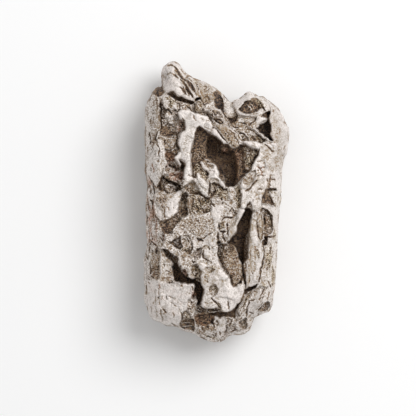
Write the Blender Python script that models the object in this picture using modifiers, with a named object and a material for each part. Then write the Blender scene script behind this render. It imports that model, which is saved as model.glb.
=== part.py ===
"""Iron meteorite: one solid lump of nickel iron, lying on its back.

The lump is built from its plan outline. The outline becomes a slab, the slab's
upper side is pushed into the front's ledges, plates and pits, its underside into
a rough convex back, and the whole is remeshed so that the steep walls of the
pits have even faces. Shapes are in millimetres: +X to the right, +Y towards the
peak and +Z out of the front. The finished mesh is in metres.
"""
import math

import bmesh
import bpy
import numpy as np

MM = 0.001

# Driving dimensions, in millimetres
FRONT_TOP = 18.6          # the front's general level above the resting plane
SEAM = 8.2                # height of the widest section
SEAM_BAND = 1.4           # height of the upright band round that section
FRONT_ROUND = 4.6         # how far in from the outline the front rounds over
FRONT_ROUGHNESS = 0.45    # height of the front's small lumps
BACK_ROUND = 8.0          # how far in from the outline the back rounds under
BACK_LEVEL = 0.75         # the back's general level, before its lumps
PEAK_DROP = 6.2           # how much lower the front is at the peak's end
FOOT_DROP = 5.6           # how much lower it is at the other end
SLAB_HALF = 1.0           # half the thickness of the slab that it starts from
VOXEL = 0.45              # size of the even faces before thinning
TRIANGLES = 9400          # number of triangles left
SEED = 11

# The widest section seen from the front, clockwise from the peak
OUTLINE = [
    (-10.6, 27.0), (-9.6, 27.8), (-8.5, 28.0), (-7.5, 27.6), (-6.6, 26.2), (-5.0, 25.0),
    (-2.5, 23.9), (0.0, 22.6), (1.6, 21.2), (2.9, 19.8), (4.3, 20.7), (5.6, 21.8), (7.2, 21.7),
    (9.2, 21.0), (11.3, 19.3), (13.0, 17.3), (14.2, 14.5), (14.2, 12.3), (13.6, 9.0),
    (12.9, 5.0), (12.9, 0.7), (12.2, -3.0), (12.0, -9.0), (11.8, -15.0), (11.1, -20.5),
    (10.3, -22.2), (7.5, -23.2), (6.9, -25.0), (5.6, -26.3), (2.6, -26.8), (0.6, -27.9),
    (-1.6, -27.9), (-4.1, -26.5), (-7.8, -25.1), (-10.9, -24.5), (-13.1, -23.2), (-14.0, -20.5),
    (-14.3, -14.5), (-14.4, -11.3), (-13.6, -7.5), (-14.1, -3.0), (-13.9, 3.0), (-14.3, 7.5),
    (-14.4, 13.0), (-14.2, 18.5), (-13.1, 21.3), (-11.9, 23.0), (-11.0, 23.2), (-11.1, 25.5),
]

# The front's forms, in the order in which each covers the ones before it:
# name, level, wall width, (lean along X, lean along Y), outline
FRONT_FORMS = [
    ("peak fin", 13.6, 1.2, (0.05, -0.28),
     [(-11.5, 21.5), (-11.5, 28.5), (-6, 28.5), (1, 23.5), (-0.8, 20.5), (-5, 20.2), (-8.5, 22)]),
    ("fin's groove", 12.2, 0.8, (0.05, -0.28),
     [(-8.8, 26.6), (-5.6, 23), (-4.4, 21.2), (-5.2, 21.4), (-7.4, 23.4), (-9.4, 25.8)]),
    ("peak's right slope", 13.0, 1.5, (-0.1, -0.25),
     [(-1, 19), (-1, 23), (2, 22), (4, 19), (3.5, 16.8), (1, 18)]),
    ("crown", 15.6, 1.4, (0.0, -0.2),
     [(3, 17.2), (3, 21.5), (6, 22.5), (10, 21.5), (12, 19), (10.3, 16), (5, 16)]),
    ("right horn", 16.2, 1.0, (-0.15, -0.12),
     [(10.3, 20), (14, 18), (15, 12), (14, 7), (11.3, 7.5), (11, 11.5), (10.6, 15)]),
    ("left strip", 15.8, 1.0, (0.25, 0.0),
     [(-15, 21), (-11.6, 20.4), (-11.4, 4), (-12.4, 2.6), (-15, 6)]),
    ("left shelf", 16.4, 1.0, (0.1, 0.0),
     [(-11.4, 21), (-8, 20.5), (-5, 19.4), (-5, 17.8), (-8, 16.8), (-7.4, 12), (-7.5, 8),
      (-11, 6), (-11.4, 12)]),
    ("cream block", 17.2, 0.8, (0.0, -0.1),
     [(-10.9, 20.8), (-8.8, 20.8), (-8, 19.4), (-9, 18), (-10.2, 18.4)]),
    ("grey lump", 17.4, 0.9, (0.1, 0.0),
     [(-11, 12.6), (-8.4, 12.7), (-8, 11), (-9.4, 10.2), (-11, 10.4)]),
    ("left column", 17.4, 0.9, (0.1, 0.0),
     [(-13.8, 9.8), (-10.4, 9.9), (-9.9, 7.4), (-11, 5), (-12.2, 3), (-13.6, 5)]),
    ("brown pocket", 13.4, 1.0, (0.0, 0.0),
     [(-9.9, 9.9), (-8.2, 10.4), (-7.6, 9.7), (-8.6, 8), (-10, 8.2)]),
    ("left cavity", 13.8, 1.0, (0.0, 0.0),
     [(-11.2, 15), (-8, 15.4), (-6.6, 15.3), (-6.6, 13.8), (-8.4, 13), (-11.2, 13)]),
    ("white ridge", 19.4, 0.8, (-0.03, -0.03),
     [(-7.9, 17.9), (-5.2, 17.8), (-2, 16.9), (-0.9, 15.4), (-2.2, 14.5), (-4.1, 13.8),
      (-5.1, 10.5), (-5.1, 6.8), (-4.5, 4.6), (-6.6, 3), (-6.4, 7), (-8.3, 8.5), (-7.4, 10),
      (-7.8, 12), (-6.4, 14.2), (-7.7, 16.5)]),
    ("rust pocket", 13.2, 1.2, (0.0, 0.0),
     [(-10.8, 5.5), (-9.6, 7.6), (-7.2, 8), (-6.6, 5.5), (-6.8, 2.6), (-8, 1.8), (-10.5, 1),
      (-11.8, 2.8)]),
    ("tongue", 17.6, 0.9, (0.05, -0.3),
     [(-11.9, 2), (-9.3, 0.9), (-7.2, 2.1), (-6.8, 1), (-7.6, -1.2), (-8.6, -3), (-11, -3.8),
      (-12.3, -2), (-12.2, 0.6)]),
    ("olive hollow", 15.4, 1.2, (0.0, 0.0),
     [(-6.8, 2.2), (-5, 3.8), (-3.6, 2.6), (-1.8, 0.6), (-5, 0.9), (-5.9, -2.4), (-8.8, -3.4),
      (-11.2, -4), (-10.8, -5.6), (-8.8, -5.8), (-7, -3.2), (-7.3, 0)]),
    ("olive field", 17.4, 0.9, (0.0, 0.1),
     [(-5.6, 0.4), (-3, 0.9), (-1.2, 0.2), (-1.4, -2.2), (-4, -2.8), (-5.8, -2)]),
    ("speckled diamond", 18.9, 0.9, (-0.06, 0.06),
     [(-6.6, -3.4), (-2.5, -3), (-0.8, -5.4), (-3, -7.8), (-5.4, -6.5), (-9.6, -7.6), (-8.2, -4.8)]),
    ("white spine", 19.5, 0.9, (0.1, 0.0),
     [(4.2, 1.4), (5.6, -1.4), (4.2, -4.6), (2.6, -7.8), (1, -7.8), (2.2, -4.4), (3.6, -1.6)]),
    ("grey middle", 18.0, 0.9, (0.0, -0.05),
     [(-2.8, -8.2), (-0.4, -6.2), (0.3, -9), (0.8, -12.6), (-2.4, -11.8), (-3.4, -9.6)]),
    ("ribbed fan", 17.8, 0.9, (0.0, 0.0),
     [(-6.8, -6.9), (-5.4, -6.9), (-4.6, -9), (-5.4, -10.3), (-6.8, -9)]),
    ("diagonal bar", 18.6, 0.8, (0.0, -0.05),
     [(-10.2, -9), (-9.2, -8.2), (-6.8, -9.9), (-4.7, -11.2), (-5.2, -13.6), (-6, -14.3),
      (-7.6, -12.4), (-8.6, -10.4)]),
    ("olive hollow of the bar", 16.2, 0.9, (0.0, 0.0),
     [(-4.6, -9.4), (-3.2, -9.2), (-3.6, -11.6), (-3.2, -14.4), (-5.4, -14.6), (-4.6, -12)]),
    ("big pit", 9.0, 2.6, (0.0, 0.0),
     [(-2.8, 14.2), (0, 12.9), (1.2, 11.4), (2.5, 10.8), (4.6, 10.9), (6.6, 9.9), (6.8, 7.6),
      (5.2, 5.4), (4.2, 3.6), (1.8, 2.4), (-3, 5), (-4, 8), (-3.8, 12)]),
    ("fangs", 17.4, 0.9, (0.0, 0.1),
     [(-3.9, 7.8), (-1.2, 8.1), (0.4, 6.6), (0.5, 4.6), (1.7, 3.6), (1.6, 1.2), (-1.6, 1),
      (-4.3, 4)]),
    ("diagonal lamella", 17.4, 0.9, (0.1, -0.1),
     [(-0.9, 15.3), (1.6, 15.4), (3.4, 13.8), (4.8, 11.6), (3.2, 10.6), (0.9, 12.8)]),
    ("crevice below the crown", 12.0, 0.9, (0.0, 0.0),
     [(0.9, 18.1), (2.3, 15.3), (3.2, 15.4), (4.2, 16.3), (3.8, 18), (3, 17.2), (1.4, 19)]),
    ("crown hollow", 14.2, 1.2, (0.0, 0.0),
     [(4.4, 18.3), (6.4, 19.9), (8.2, 20.3), (9, 18.8), (8.2, 17.8), (5.6, 17.4)]),
    ("black hole", 8.6, 1.4, (0.0, 0.0),
     [(7.9, 14.4), (8.6, 15.6), (10.2, 15.9), (10.8, 14.2), (10.9, 12), (9.8, 12.3), (8.4, 13.5)]),
    ("right plate", 19.0, 0.9, (-0.2, -0.05),
     [(5, 11.7), (8.8, 11), (11, 9.9), (11.4, 7.5), (10.3, 3.9), (9, 0.4), (7.5, -2.1),
      (5.2, -1.6), (4.6, 2.5), (5.4, 4.8), (7, 7), (8.3, 10), (6.8, 10.9)]),
    ("right cavities", 12.8, 1.2, (0.0, 0.0),
     [(10.7, 5.2), (9.2, 0.8), (8.6, -1.6), (9.2, -4), (9.4, -8.4), (10.2, -7), (11.1, -4.6),
      (11, -1), (11.4, 3.6)]),
    ("lip between the cavities", 16.2, 0.7, (-0.4, 0.0),
     [(8.6, -0.3), (11.6, -0.9), (11.6, -1.7), (8.8, -1.2)]),
    ("long leaf", 18.2, 0.8, (0.0, 0.04),
     [(7.3, -3), (8.9, -2.6), (9.2, -8), (9.3, -11), (8.4, -15), (7.4, -16.8), (5.6, -17.2),
      (6, -12), (6.6, -6)]),
    ("black slot", 9.2, 1.3, (0.0, 0.0),
     [(6, -1.4), (6.9, -2), (6.6, -5.4), (6, -9.5), (5.2, -12.2), (4.3, -11.4), (3.9, -9.2),
      (2.4, -8), (4.1, -6), (4.6, -3.6)]),
    ("oval lobe", 16.2, 0.9, (0.0, 0.08),
     [(1.2, -8.9), (3.6, -8.9), (4.9, -12.2), (5.2, -15), (3.4, -16.6), (1.3, -13.3), (1, -10.5)]),
    ("left hollow", 13.6, 1.0, (0.0, 0.0),
     [(-13.2, -11.5), (-11.4, -11.3), (-11.3, -14.5), (-12.6, -15.3), (-13.4, -13)]),
    ("dark triangle", 15.6, 0.9, (0.0, 0.0),
     [(-9, -7.9), (-6.9, -6.9), (-6.6, -9.4), (-8.2, -8.9)]),
    ("boomerang cavity", 9.4, 1.5, (0.0, 0.0),
     [(-10.4, -9.6), (-8.3, -10.7), (-7.2, -13.4), (-5, -14.8), (-3.2, -15.1), (-2.6, -17.8),
      (-3.2, -20.4), (-4.2, -19.6), (-4.7, -16.2), (-8.7, -15.8), (-9, -12.6), (-10.2, -10.6)]),
    ("white foot ridge", 18.8, 0.8, (0.0, 0.05),
     [(-4.2, -12), (-1, -13), (2.2, -14.8), (3.3, -17.1), (5.3, -16.8), (4.8, -19.6),
      (2.4, -21.8), (-2.6, -21), (-2.6, -17.6), (-3, -14.8)]),
    ("foot block", 17.0, 0.9, (0.05, 0.24),
     [(-14.4, -15.9), (-11, -15.9), (-4.6, -16.3), (-5, -21.4), (-7, -22.6), (-7.8, -25.4),
      (-14.4, -24)]),
    ("pink groove", 15.0, 0.8, (0.0, 0.3),
     [(-10.6, -20.4), (-9.9, -20.6), (-9.8, -24.4), (-10.6, -24.4)]),
    ("foot crack", 11.6, 1.0, (0.0, 0.0),
     [(-3, -21.7), (1.8, -22), (5.4, -18.6), (8, -16.2), (7, -17.6), (5, -19.6), (3.4, -22.8),
      (0, -23)]),
    ("foot lamellae", 15.2, 1.2, (0.0, 0.22),
     [(5.6, -19.4), (8.2, -16.8), (10.8, -17), (11.6, -21), (8, -21.6), (6, -24.5), (3.8, -23.4)]),
    ("right foot cavity", 11.2, 1.0, (0.0, 0.0),
     [(8, -21.9), (9.4, -20.2), (10.6, -20.2), (10, -21.8)]),
    ("foot knob", 15.6, 0.7, (0.0, 0.2),
     [(-6.7, -22), (-5.6, -21.8), (-5.2, -23), (-6.6, -23.4)]),
    ("small foot hollow", 12.2, 1.0, (0.0, 0.0),
     [(-7.6, -24.6), (-6, -23.3), (-4.4, -23.6), (-4.6, -25.8), (-6, -25.4)]),
    ("peak cleft", 9.2, 0.9, (0.0, 0.0),
     [(-10.5, 21.9), (-8.8, 22.1), (-6, 20.4), (-4.4, 19.6), (-5.4, 19.1), (-8.2, 20.2)]),
]

# Hollows in the sides and the back: centre (x, y, z), radius, depth
SIDE_HOLLOWS = [
    ((-14.5, -6.8, 9.0), 3.2, 1.3), ((-14.4, 9.5, 6.2), 3.4, 1.4), ((-13.2, -19.5, 4.8), 3.2, 1.5),
    ((13.2, 2.8, 7.4), 3.6, 1.5), ((12.4, -12.6, 6.6), 3.0, 1.4), ((13.0, 13.6, 5.0), 3.0, 1.3),
    ((7.6, -24.2, 6.2), 2.6, 1.4), ((-3.4, 24.6, 5.4), 3.0, 1.5), ((2.9, 20.4, 7.4), 1.8, 1.2),
    ((-8.8, -25.0, 6.0), 2.4, 1.1), ((-2.6, 5.2, 0.4), 4.0, 2.0), ((4.6, -8.0, 0.8), 3.4, 1.9),
    ((-7.4, -6.4, 1.2), 2.8, 1.6), ((0.4, -20.2, 1.6), 3.0, 1.5), ((-1.0, 18.2, 1.8), 3.2, 1.6),
]

# Low ridges that the lump lies on: centre (x, y), half sizes, turn in degrees
RESTS = [
    ((-5.6, 12.6), (3.4, 2.2), 55), ((6.0, 7.2), (2.2, 3.2), 20),
    ((-5.4, -13.4), (2.2, 3.4), 30), ((5.6, -15.0), (3.0, 2.0), 70),
]
REST_DEPTH = 0.45         # how far those ridges would reach below the resting plane

# Crystal plates of the sides and back
BLOCK_SIZE = 7.0          # size of the blocks that the lump has broken along
BLOCK_STEP = 0.75         # how much one block stands above the next
LAMELLA_PITCH = 3.1       # distance between the plates in a block
LAMELLA_DEPTH = 0.42      # depth of the grooves between them
LAMELLA_NORMALS = [(0.75, -0.6, 0.3), (-0.8, -0.5, 0.35), (0.2, 0.45, 0.87), (0.15, 0.9, -0.4)]


def remove_objects():
    for old in list(bpy.data.objects):
        bpy.data.objects.remove(old, do_unlink=True)


def outline_distance(x, y, points):
    """Distance from each place to a closed outline, negative inside it."""
    nearest = np.full(x.shape, 1e9)
    inside = np.zeros(x.shape, bool)
    for (ax, ay), (bx, by) in zip(points, points[1:] + points[:1]):
        dx, dy = bx - ax, by - ay
        along = np.clip(((x - ax) * dx + (y - ay) * dy) / (dx * dx + dy * dy), 0, 1)
        nearest = np.minimum(nearest, np.hypot(x - ax - along * dx, y - ay - along * dy))
        if ay != by:
            inside ^= ((ay > y) != (by > y)) & (x < ax + dx * (y - ay) / dy)
    return np.where(inside, -nearest, nearest)


def cut_corners(points):
    """The same outline with each corner cut once."""
    rounded = []
    for (ax, ay), (bx, by) in zip(points, points[1:] + points[:1]):
        rounded.append((0.75 * ax + 0.25 * bx, 0.75 * ay + 0.25 * by))
        rounded.append((0.25 * ax + 0.75 * bx, 0.25 * ay + 0.75 * by))
    return rounded


def ease(value):
    """0 to 1 with a level start and end."""
    value = np.clip(value, 0, 1)
    return value * value * (3 - 2 * value)


def quarter_round(value):
    """0 at the outline, rising as a quarter circle to 1."""
    return np.sqrt(1 - (1 - np.clip(value, 0, 1)) ** 2)


def lattice(cell, salt):
    """A repeatable number from 0 to 1 for each whole-numbered cell."""
    key = (cell * np.array([73856093, 19349663, 83492791])).sum(axis=1) + salt * 2654435761
    key = (key ^ (key >> 13)) * 1274126177 & 0xFFFFFFFF
    return ((key ^ (key >> 16)) & 0xFFFF) / 65535.0


def soft_noise(places, size, salt):
    """Smooth noise from -1 to 1 with features of the given size."""
    scaled = places / size
    cell = np.floor(scaled).astype(np.int64)
    part = ease(scaled - cell)
    total = np.zeros(len(places))
    for corner in np.ndindex(2, 2, 2):
        weight = np.prod(np.where(corner, part, 1 - part), axis=1)
        total += weight * lattice(cell + corner, salt)
    return 2 * total - 1


def blocks(places, size, salt):
    """The nearest block of each place: its number, and how near its edge is."""
    scaled = places / size
    cell = np.floor(scaled).astype(np.int64)
    first = np.full(len(places), 9.0)
    second = np.full(len(places), 9.0)
    number = np.zeros(len(places))
    for step in np.ndindex(3, 3, 3):
        other = cell + np.array(step) - 1
        centre = other + np.stack([lattice(other, salt + k) for k in range(3)], axis=1)
        distance = np.linalg.norm(scaled - centre, axis=1)
        closer = distance < first
        second = np.where(closer, first, np.minimum(second, distance))
        number = np.where(closer, lattice(other, salt + 3), number)
        first = np.where(closer, distance, first)
    return number, second - first


def front_height(x, y, inset):
    """Height of the front above the resting plane."""
    height = FRONT_TOP - PEAK_DROP * ease((y - 9) / 18) - FOOT_DROP * ease((-14 - y) / 14)
    for _, level, wall, lean, points in FRONT_FORMS:
        middle = np.mean(points, axis=0)
        tilted = level + lean[0] * (x - middle[0]) + lean[1] * (y - middle[1])
        cover = ease(0.5 - outline_distance(x, y, cut_corners(points)) / wall)
        height = height + (tilted - height) * cover
    places = np.stack([x, y, np.zeros_like(x)], axis=1)
    height += FRONT_ROUGHNESS * soft_noise(places, 1.9, SEED + 9)
    top_of_band = SEAM + SEAM_BAND / 2
    return top_of_band + (height - top_of_band) * quarter_round(inset / FRONT_ROUND)


def back_height(x, y, inset):
    """Height of the underside, with the low ridges that it lies on."""
    foot_of_band = SEAM - SEAM_BAND / 2
    height = foot_of_band + (BACK_LEVEL - foot_of_band) * quarter_round(inset / BACK_ROUND)
    for (cx, cy), (long_half, short_half), turn in RESTS:
        cosine, sine = math.cos(math.radians(turn)), math.sin(math.radians(turn))
        along = ((x - cx) * cosine + (y - cy) * sine) / long_half
        across = ((y - cy) * cosine - (x - cx) * sine) / short_half
        cover = ease(1.6 - np.hypot(along, across))
        height = height + (-REST_DEPTH - height) * cover
    return height


def make_slab():
    """A flat slab with the lump's outline, in millimetres, meshed evenly."""
    plan = bpy.data.curves.new("plan", "CURVE")
    plan.dimensions = "2D"
    plan.fill_mode = "BOTH"
    plan.extrude = SLAB_HALF
    spline = plan.splines.new("POLY")
    points = cut_corners(OUTLINE)
    spline.points.add(len(points) - 1)
    for point, (x, y) in zip(spline.points, points):
        point.co = (x, y, 0, 1)
    spline.use_cyclic_u = True
    guide = bpy.data.objects.new("plan", plan)
    bpy.context.scene.collection.objects.link(guide)
    mesh = evaluated_mesh(guide, "slab")
    bpy.data.objects.remove(guide)
    shape = bmesh.new()
    shape.from_mesh(mesh)
    bmesh.ops.remove_doubles(shape, verts=shape.verts, dist=0.0001)
    shape.to_mesh(mesh)
    shape.free()
    return remeshed(mesh, VOXEL)


def evaluated_mesh(thing, name):
    """The object's mesh with its modifiers applied, as a mesh of its own."""
    view = bpy.context.evaluated_depsgraph_get()
    mesh = bpy.data.meshes.new_from_object(thing.evaluated_get(view))
    mesh.name = name
    return mesh


def modified(mesh, kind, **settings):
    """The mesh with one modifier applied."""
    thing = bpy.data.objects.new("work", mesh)
    bpy.context.scene.collection.objects.link(thing)
    modifier = thing.modifiers.new("work", kind)
    for key, value in settings.items():
        setattr(modifier, key, value)
    result = evaluated_mesh(thing, mesh.name)
    bpy.data.objects.remove(thing)
    return result


def remeshed(mesh, voxel):
    return modified(mesh, "REMESH", mode="VOXEL", voxel_size=voxel)


def vertex_places(mesh):
    flat = np.empty(len(mesh.vertices) * 3)
    mesh.vertices.foreach_get("co", flat)
    return flat.reshape(-1, 3)


def move_vertices(mesh, places):
    mesh.vertices.foreach_set("co", places.ravel())
    mesh.update()


def push_into_shape(mesh):
    """Moves the slab's upper side to the front and its lower side to the back."""
    places = vertex_places(mesh)
    x, y, level = places.T
    inset = np.maximum(-outline_distance(x, y, cut_corners(OUTLINE)), 0)
    share = np.clip(level / SLAB_HALF, -1, 1)
    front = front_height(x, y, inset)
    back = back_height(x, y, inset)
    middle = SEAM + share * SEAM_BAND / 2
    upper = ease((share - 0.5) / 0.5)
    lower = ease((-share - 0.5) / 0.5)
    places[:, 2] = middle + (front - middle) * upper + (back - middle) * lower
    move_vertices(mesh, places)


def break_up(mesh):
    """Gives the sides and the back their blocks, plates and hollows."""
    places = vertex_places(mesh)
    normals = np.empty(len(places) * 3)
    mesh.vertex_normals.foreach_get("vector", normals)
    normals = normals.reshape(-1, 3)
    number, edge = blocks(places, BLOCK_SIZE, SEED)
    choice = (number * len(LAMELLA_NORMALS)).astype(int) % len(LAMELLA_NORMALS)
    direction = np.array(LAMELLA_NORMALS)[choice]
    phase = (places * direction).sum(axis=1) / LAMELLA_PITCH + 7 * number
    groove = 1 - ease(2.6 * np.abs(phase - np.round(phase)))
    move = BLOCK_STEP * (number * 7 % 1 - 0.55) * ease(edge / 0.25)
    move -= LAMELLA_DEPTH * groove + 0.5 * (1 - ease(edge / 0.16))
    move += 0.25 * soft_noise(places, 2.4, SEED)
    away_from_front = 1 - ease((places[:, 2] - 10.5) / 3.5)
    resting = ease((places[:, 2] - 0.1) / 0.8)
    move *= away_from_front * resting
    for centre, radius, depth in SIDE_HOLLOWS:
        reach = np.linalg.norm(places - np.array(centre), axis=1) / radius
        move -= depth * ease(1.2 - reach) * resting
    move_vertices(mesh, places + normals * move[:, None])


def lay_flat(mesh):
    """Ends the lump on the resting plane, and turns millimetres into metres."""
    places = vertex_places(mesh)
    places[:, 2] = np.maximum(places[:, 2], 0)
    middle = (places.min(axis=0) + places.max(axis=0)) / 2
    places[:, :2] -= middle[:2]
    move_vertices(mesh, places * MM)


def meteorite_material():
    """Bare weathered nickel iron."""
    material = bpy.data.materials.new("weathered_iron")
    material.use_nodes = True
    shader = material.node_tree.nodes["Principled BSDF"]
    shader.inputs["Base Color"].default_value = (0.45, 0.40, 0.34, 1)
    shader.inputs["Metallic"].default_value = 0.6
    shader.inputs["Roughness"].default_value = 0.5
    return material


def make_meteorite():
    mesh = make_slab()
    push_into_shape(mesh)
    mesh = remeshed(mesh, VOXEL)
    break_up(mesh)
    mesh = remeshed(mesh, VOXEL)
    faces = 2 * len(mesh.polygons)
    mesh = modified(mesh, "DECIMATE", ratio=TRIANGLES / faces)
    lay_flat(mesh)
    mesh.name = "meteorite"
    mesh.materials.clear()
    mesh.materials.append(meteorite_material())
    stone = bpy.data.objects.new("meteorite", mesh)
    group = bpy.data.collections.new("iron_meteorite")
    bpy.context.scene.collection.children.link(group)
    group.objects.link(stone)


remove_objects()
make_meteorite()
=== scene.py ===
import math
import bpy
import bmesh
import numpy as np
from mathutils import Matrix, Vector


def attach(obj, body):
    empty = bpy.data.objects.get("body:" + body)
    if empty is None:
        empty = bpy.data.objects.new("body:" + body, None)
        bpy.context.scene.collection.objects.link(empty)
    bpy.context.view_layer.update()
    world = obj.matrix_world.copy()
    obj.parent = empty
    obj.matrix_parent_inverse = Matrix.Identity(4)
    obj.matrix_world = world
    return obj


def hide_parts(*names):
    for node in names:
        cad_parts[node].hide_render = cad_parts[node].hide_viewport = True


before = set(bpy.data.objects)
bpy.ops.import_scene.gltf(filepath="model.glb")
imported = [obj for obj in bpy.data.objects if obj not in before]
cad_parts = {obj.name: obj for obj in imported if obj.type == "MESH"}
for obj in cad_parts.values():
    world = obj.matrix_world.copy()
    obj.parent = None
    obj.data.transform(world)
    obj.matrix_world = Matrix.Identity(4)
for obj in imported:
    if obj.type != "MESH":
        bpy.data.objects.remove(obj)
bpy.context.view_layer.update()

mm = 0.001  # the stone's shapes are written in millimetres

finishes = {  # how light, how red (or olive, below 0), how grainy and how crumbly
    # white, above the iron's bright, is mostly painted light on faces that slope away from the light
    "white": (1.12, 0.06, 0.18, 0.05),
    "bright": (0.87, 0.00, 0.12, 0.00),
    "cream": (0.83, -0.04, 0.30, 0.15),
    "pale": (0.82, 0.02, 0.50, 0.30),
    "steel": (0.64, 0.00, 0.22, 0.05),
    "smudge": (0.60, 0.00, 0.16, 0.04),
    "grey": (0.59, 0.00, 0.50, 0.34),
    "rust": (0.54, 0.80, 0.70, 0.90),
    "slate": (0.53, 0.00, 0.32, 0.10),
    "brown": (0.52, 0.10, 0.80, 0.90),
    "olive": (0.44, -0.55, 0.80, 0.80),
    "dusk": (0.40, 0.12, 0.50, 0.40),
    "dark": (0.35, 0.10, 0.40, 0.40),
    "wine": (0.27, 0.60, 0.45, 0.45),
    # black, deep and gap are laid into pits, slots and cracks: partly painted shade, on top of the shade
    # their depth casts
    "black": (0.22, 0.00, 0.14, 0.10),
    "earth": (0.18, 0.02, 0.28, 0.22),
    "deep": (0.15, 0.15, 0.35, 0.30),
    "umber": (0.08, -0.35, 0.30, 0.30),
    "gap": (0.06, 0.05, 0.20, 0.10),
}


def readPoints(text):
    return [tuple(float(part) for part in pair.split(",")) for pair in text.split()]


def ledge(name, level, finish, outline, lean=(0, 0), wall=0.45, dome=0.0, curve=1.0,
          streak=0.0, turn=90, mixed=None, share=0.3, blur=0.16, rim=0.0):
    return dict(name=name, level=level, finish=finish, points=readPoints(outline), lean=lean,
                wall=wall, dome=dome, curve=curve, streak=streak, turn=turn, mixed=mixed,
                share=share, blur=blur, rim=rim)


def readStrokes(rows):  # finish, width, height and a route, or dots and the places of specks
    strokes = []
    for row in rows:
        finish, width, height, route = row.split(" ", 3)
        if route.startswith("dots"):
            routes = [[(x, y), (x + 0.01, y)] for x, y in readPoints(route[4:])]
        else:
            routes = [readPoints(route)]
        for points in routes:
            strokes.append(dict(finish=finish, width=float(width), height=float(height), points=points))
    return strokes


def readSpots(rows):  # finish, amount and outline
    spots = []
    for row in rows:
        finish, amount, outline = row.split(" ", 2)
        spots.append(dict(finish=finish, amount=float(amount), points=readPoints(outline)))
    return spots


stone = dict(
    grow=(1.014, 1.006),  # how much wider and longer than the outline below
    voxel=0.14, coarseVoxel=0.24, triangles=196000, seed=11,
    # levels over the ground, and how far in from the outline the front and the back curve
    top=18.2, seam=8.2, seamBand=1.4, backLevel=0.75, restLevel=-0.45, frontRound=3.4, backRound=8.0,
    peakDrop=6.2, peakFrom=9, peakLength=18, footDrop=5.6, footFrom=-14, footLength=14,
    # the front's ledges, strokes and spots
    stepShare=0.75, holeShare=0.95, wallShare=0.7, domeSink=0.6, edgeWander=0.13, wanderSize=0.7,
    # the last two set the painted light along the outline, which offsets the shade on its sloping edge
    ledgeReach=0.8, spotReach=0.6, spotBlur=0.8, strokeReach=0.4, paintedRimLight=0.32, rimReach=2.8,
    # its patches, crumbs and facets
    mottleSize=0.9, mottleFine=0.36, mottleBlur=0.20, crumbSize=0.58, crumbHeight=0.42, crumbSeam=0.16,
    facetSize=2.3, facetHeight=0.20, facetLight=0.06,
    # blocks and crystal plates of the sides and back
    blockSize=7.0, blockStep=0.75, blockSeam=0.5, lamellaPitch=3.1, lamellaDepth=0.42,
    lamellaNormals=[(0.75, -0.6, 0.3), (-0.8, -0.5, 0.35), (0.2, 0.45, 0.87), (0.15, 0.9, -0.4)],
    rests=[  # low ridges that it lies on: centre, half sizes, turn in degrees
        ((-5.6, 12.6), (3.4, 2.2), 55), ((6.0, 7.2), (2.2, 3.2), 20),
        ((-5.4, -13.4), (2.2, 3.4), 30), ((5.6, -15.0), (3.0, 2.0), 70),
    ],
    sideHollows=[  # centre, radius, depth
        ((-14.5, -6.8, 6.0), 3.2, 1.3), ((-14.4, 9.5, 5.2), 3.4, 1.4), ((-13.2, -19.5, 4.0), 3.2, 1.5),
        ((13.2, 2.8, 5.4), 3.6, 1.5), ((12.4, -12.6, 4.6), 3.0, 1.4), ((13.0, 13.6, 4.4), 3.0, 1.3),
        ((7.6, -24.2, 4.6), 2.6, 1.4), ((-3.4, 24.6, 4.4), 3.0, 1.5), ((2.9, 20.4, 5.4), 1.8, 1.2),
        ((-8.8, -25.0, 4.4), 2.4, 1.1), ((-2.6, 5.2, 0.4), 4.0, 2.0), ((4.6, -8.0, 0.8), 3.4, 1.9),
        ((-7.4, -6.4, 1.2), 2.8, 1.6), ((0.4, -20.2, 1.6), 3.0, 1.5), ((-1.0, 18.2, 1.8), 3.2, 1.6),
    ],
)

stone["outline"] = readPoints(
    "-10.6,27 -10.2,27.3 -9.6,27.8 -8.5,28 -7.5,27.6 -7,27 -6.6,26.2 -6,25.6 -5,25 -3.8,24.4 "
    "-2.5,23.9 -1.2,23.2 0,22.6 0.9,21.9 1.6,21.2 2.3,20.3 2.9,19.7 3.4,20.1 4.3,20.7 4.9,21.2 "
    "5.6,21.8 6.3,22 7.2,21.7 8.3,21.2 9.2,21 10.3,20.2 11.3,19.3 12.3,18.5 13,17.3 13.5,16.2 "
    "13.9,15.3 14.2,14.5 14.3,13.5 14.2,12.3 14.1,11 13.9,10 13.6,9 13.3,8 13,6.5 12.9,5 "
    "12.85,3 12.9,0.7 12.4,-1 12.2,-5 12,-9 11.9,-12 11.8,-15 11.5,-17 11.3,-19 11.1,-20.5 "
    "10.7,-21.5 10.3,-22.2 9,-22.5 8,-22.9 7.3,-23.2 7.1,-24 6.9,-25 6.4,-25.7 5.6,-26.3 "
    "4.6,-26.6 3.4,-26.7 2.6,-26.7 2,-27 1.4,-27.5 0.6,-27.9 -0.5,-28 -1.6,-27.9 -2.7,-27.5 "
    "-3.5,-27 -4.1,-26.5 -5,-26.2 -6,-26 -7,-25.6 -7.8,-25.1 -9,-25 -10,-24.9 -10.9,-24.5 "
    "-11.6,-24.1 -12.5,-23.8 -13.1,-23.2 -13.6,-22.3 -13.9,-21.2 -14.1,-20 -14.15,-18 "
    "-14.2,-16 -14.3,-14.5 -14.3,-13 -14.4,-11.3 -14.1,-10 -13.9,-8.9 -13.6,-7.5 -14,-6 "
    "-14.1,-3 -14.2,-1.5 -14.1,0 -13.9,3 -14,4.5 -14.3,6 -14.3,7.5 -14.2,9 -14.4,11 -14.4,13 "
    "-14.3,17 -14.2,18.5 -13.9,19.8 -13.4,20.6 -13.1,21.3 -12.7,22.1 -12.2,22.7 -11.6,23 "
    "-11,22.8 -10.95,24.5 -11.1,25.5 -10.9,26.3")
stone["outline"] = [(x * stone["grow"][0], y * stone["grow"][1]) for x, y in stone["outline"]]

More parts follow.
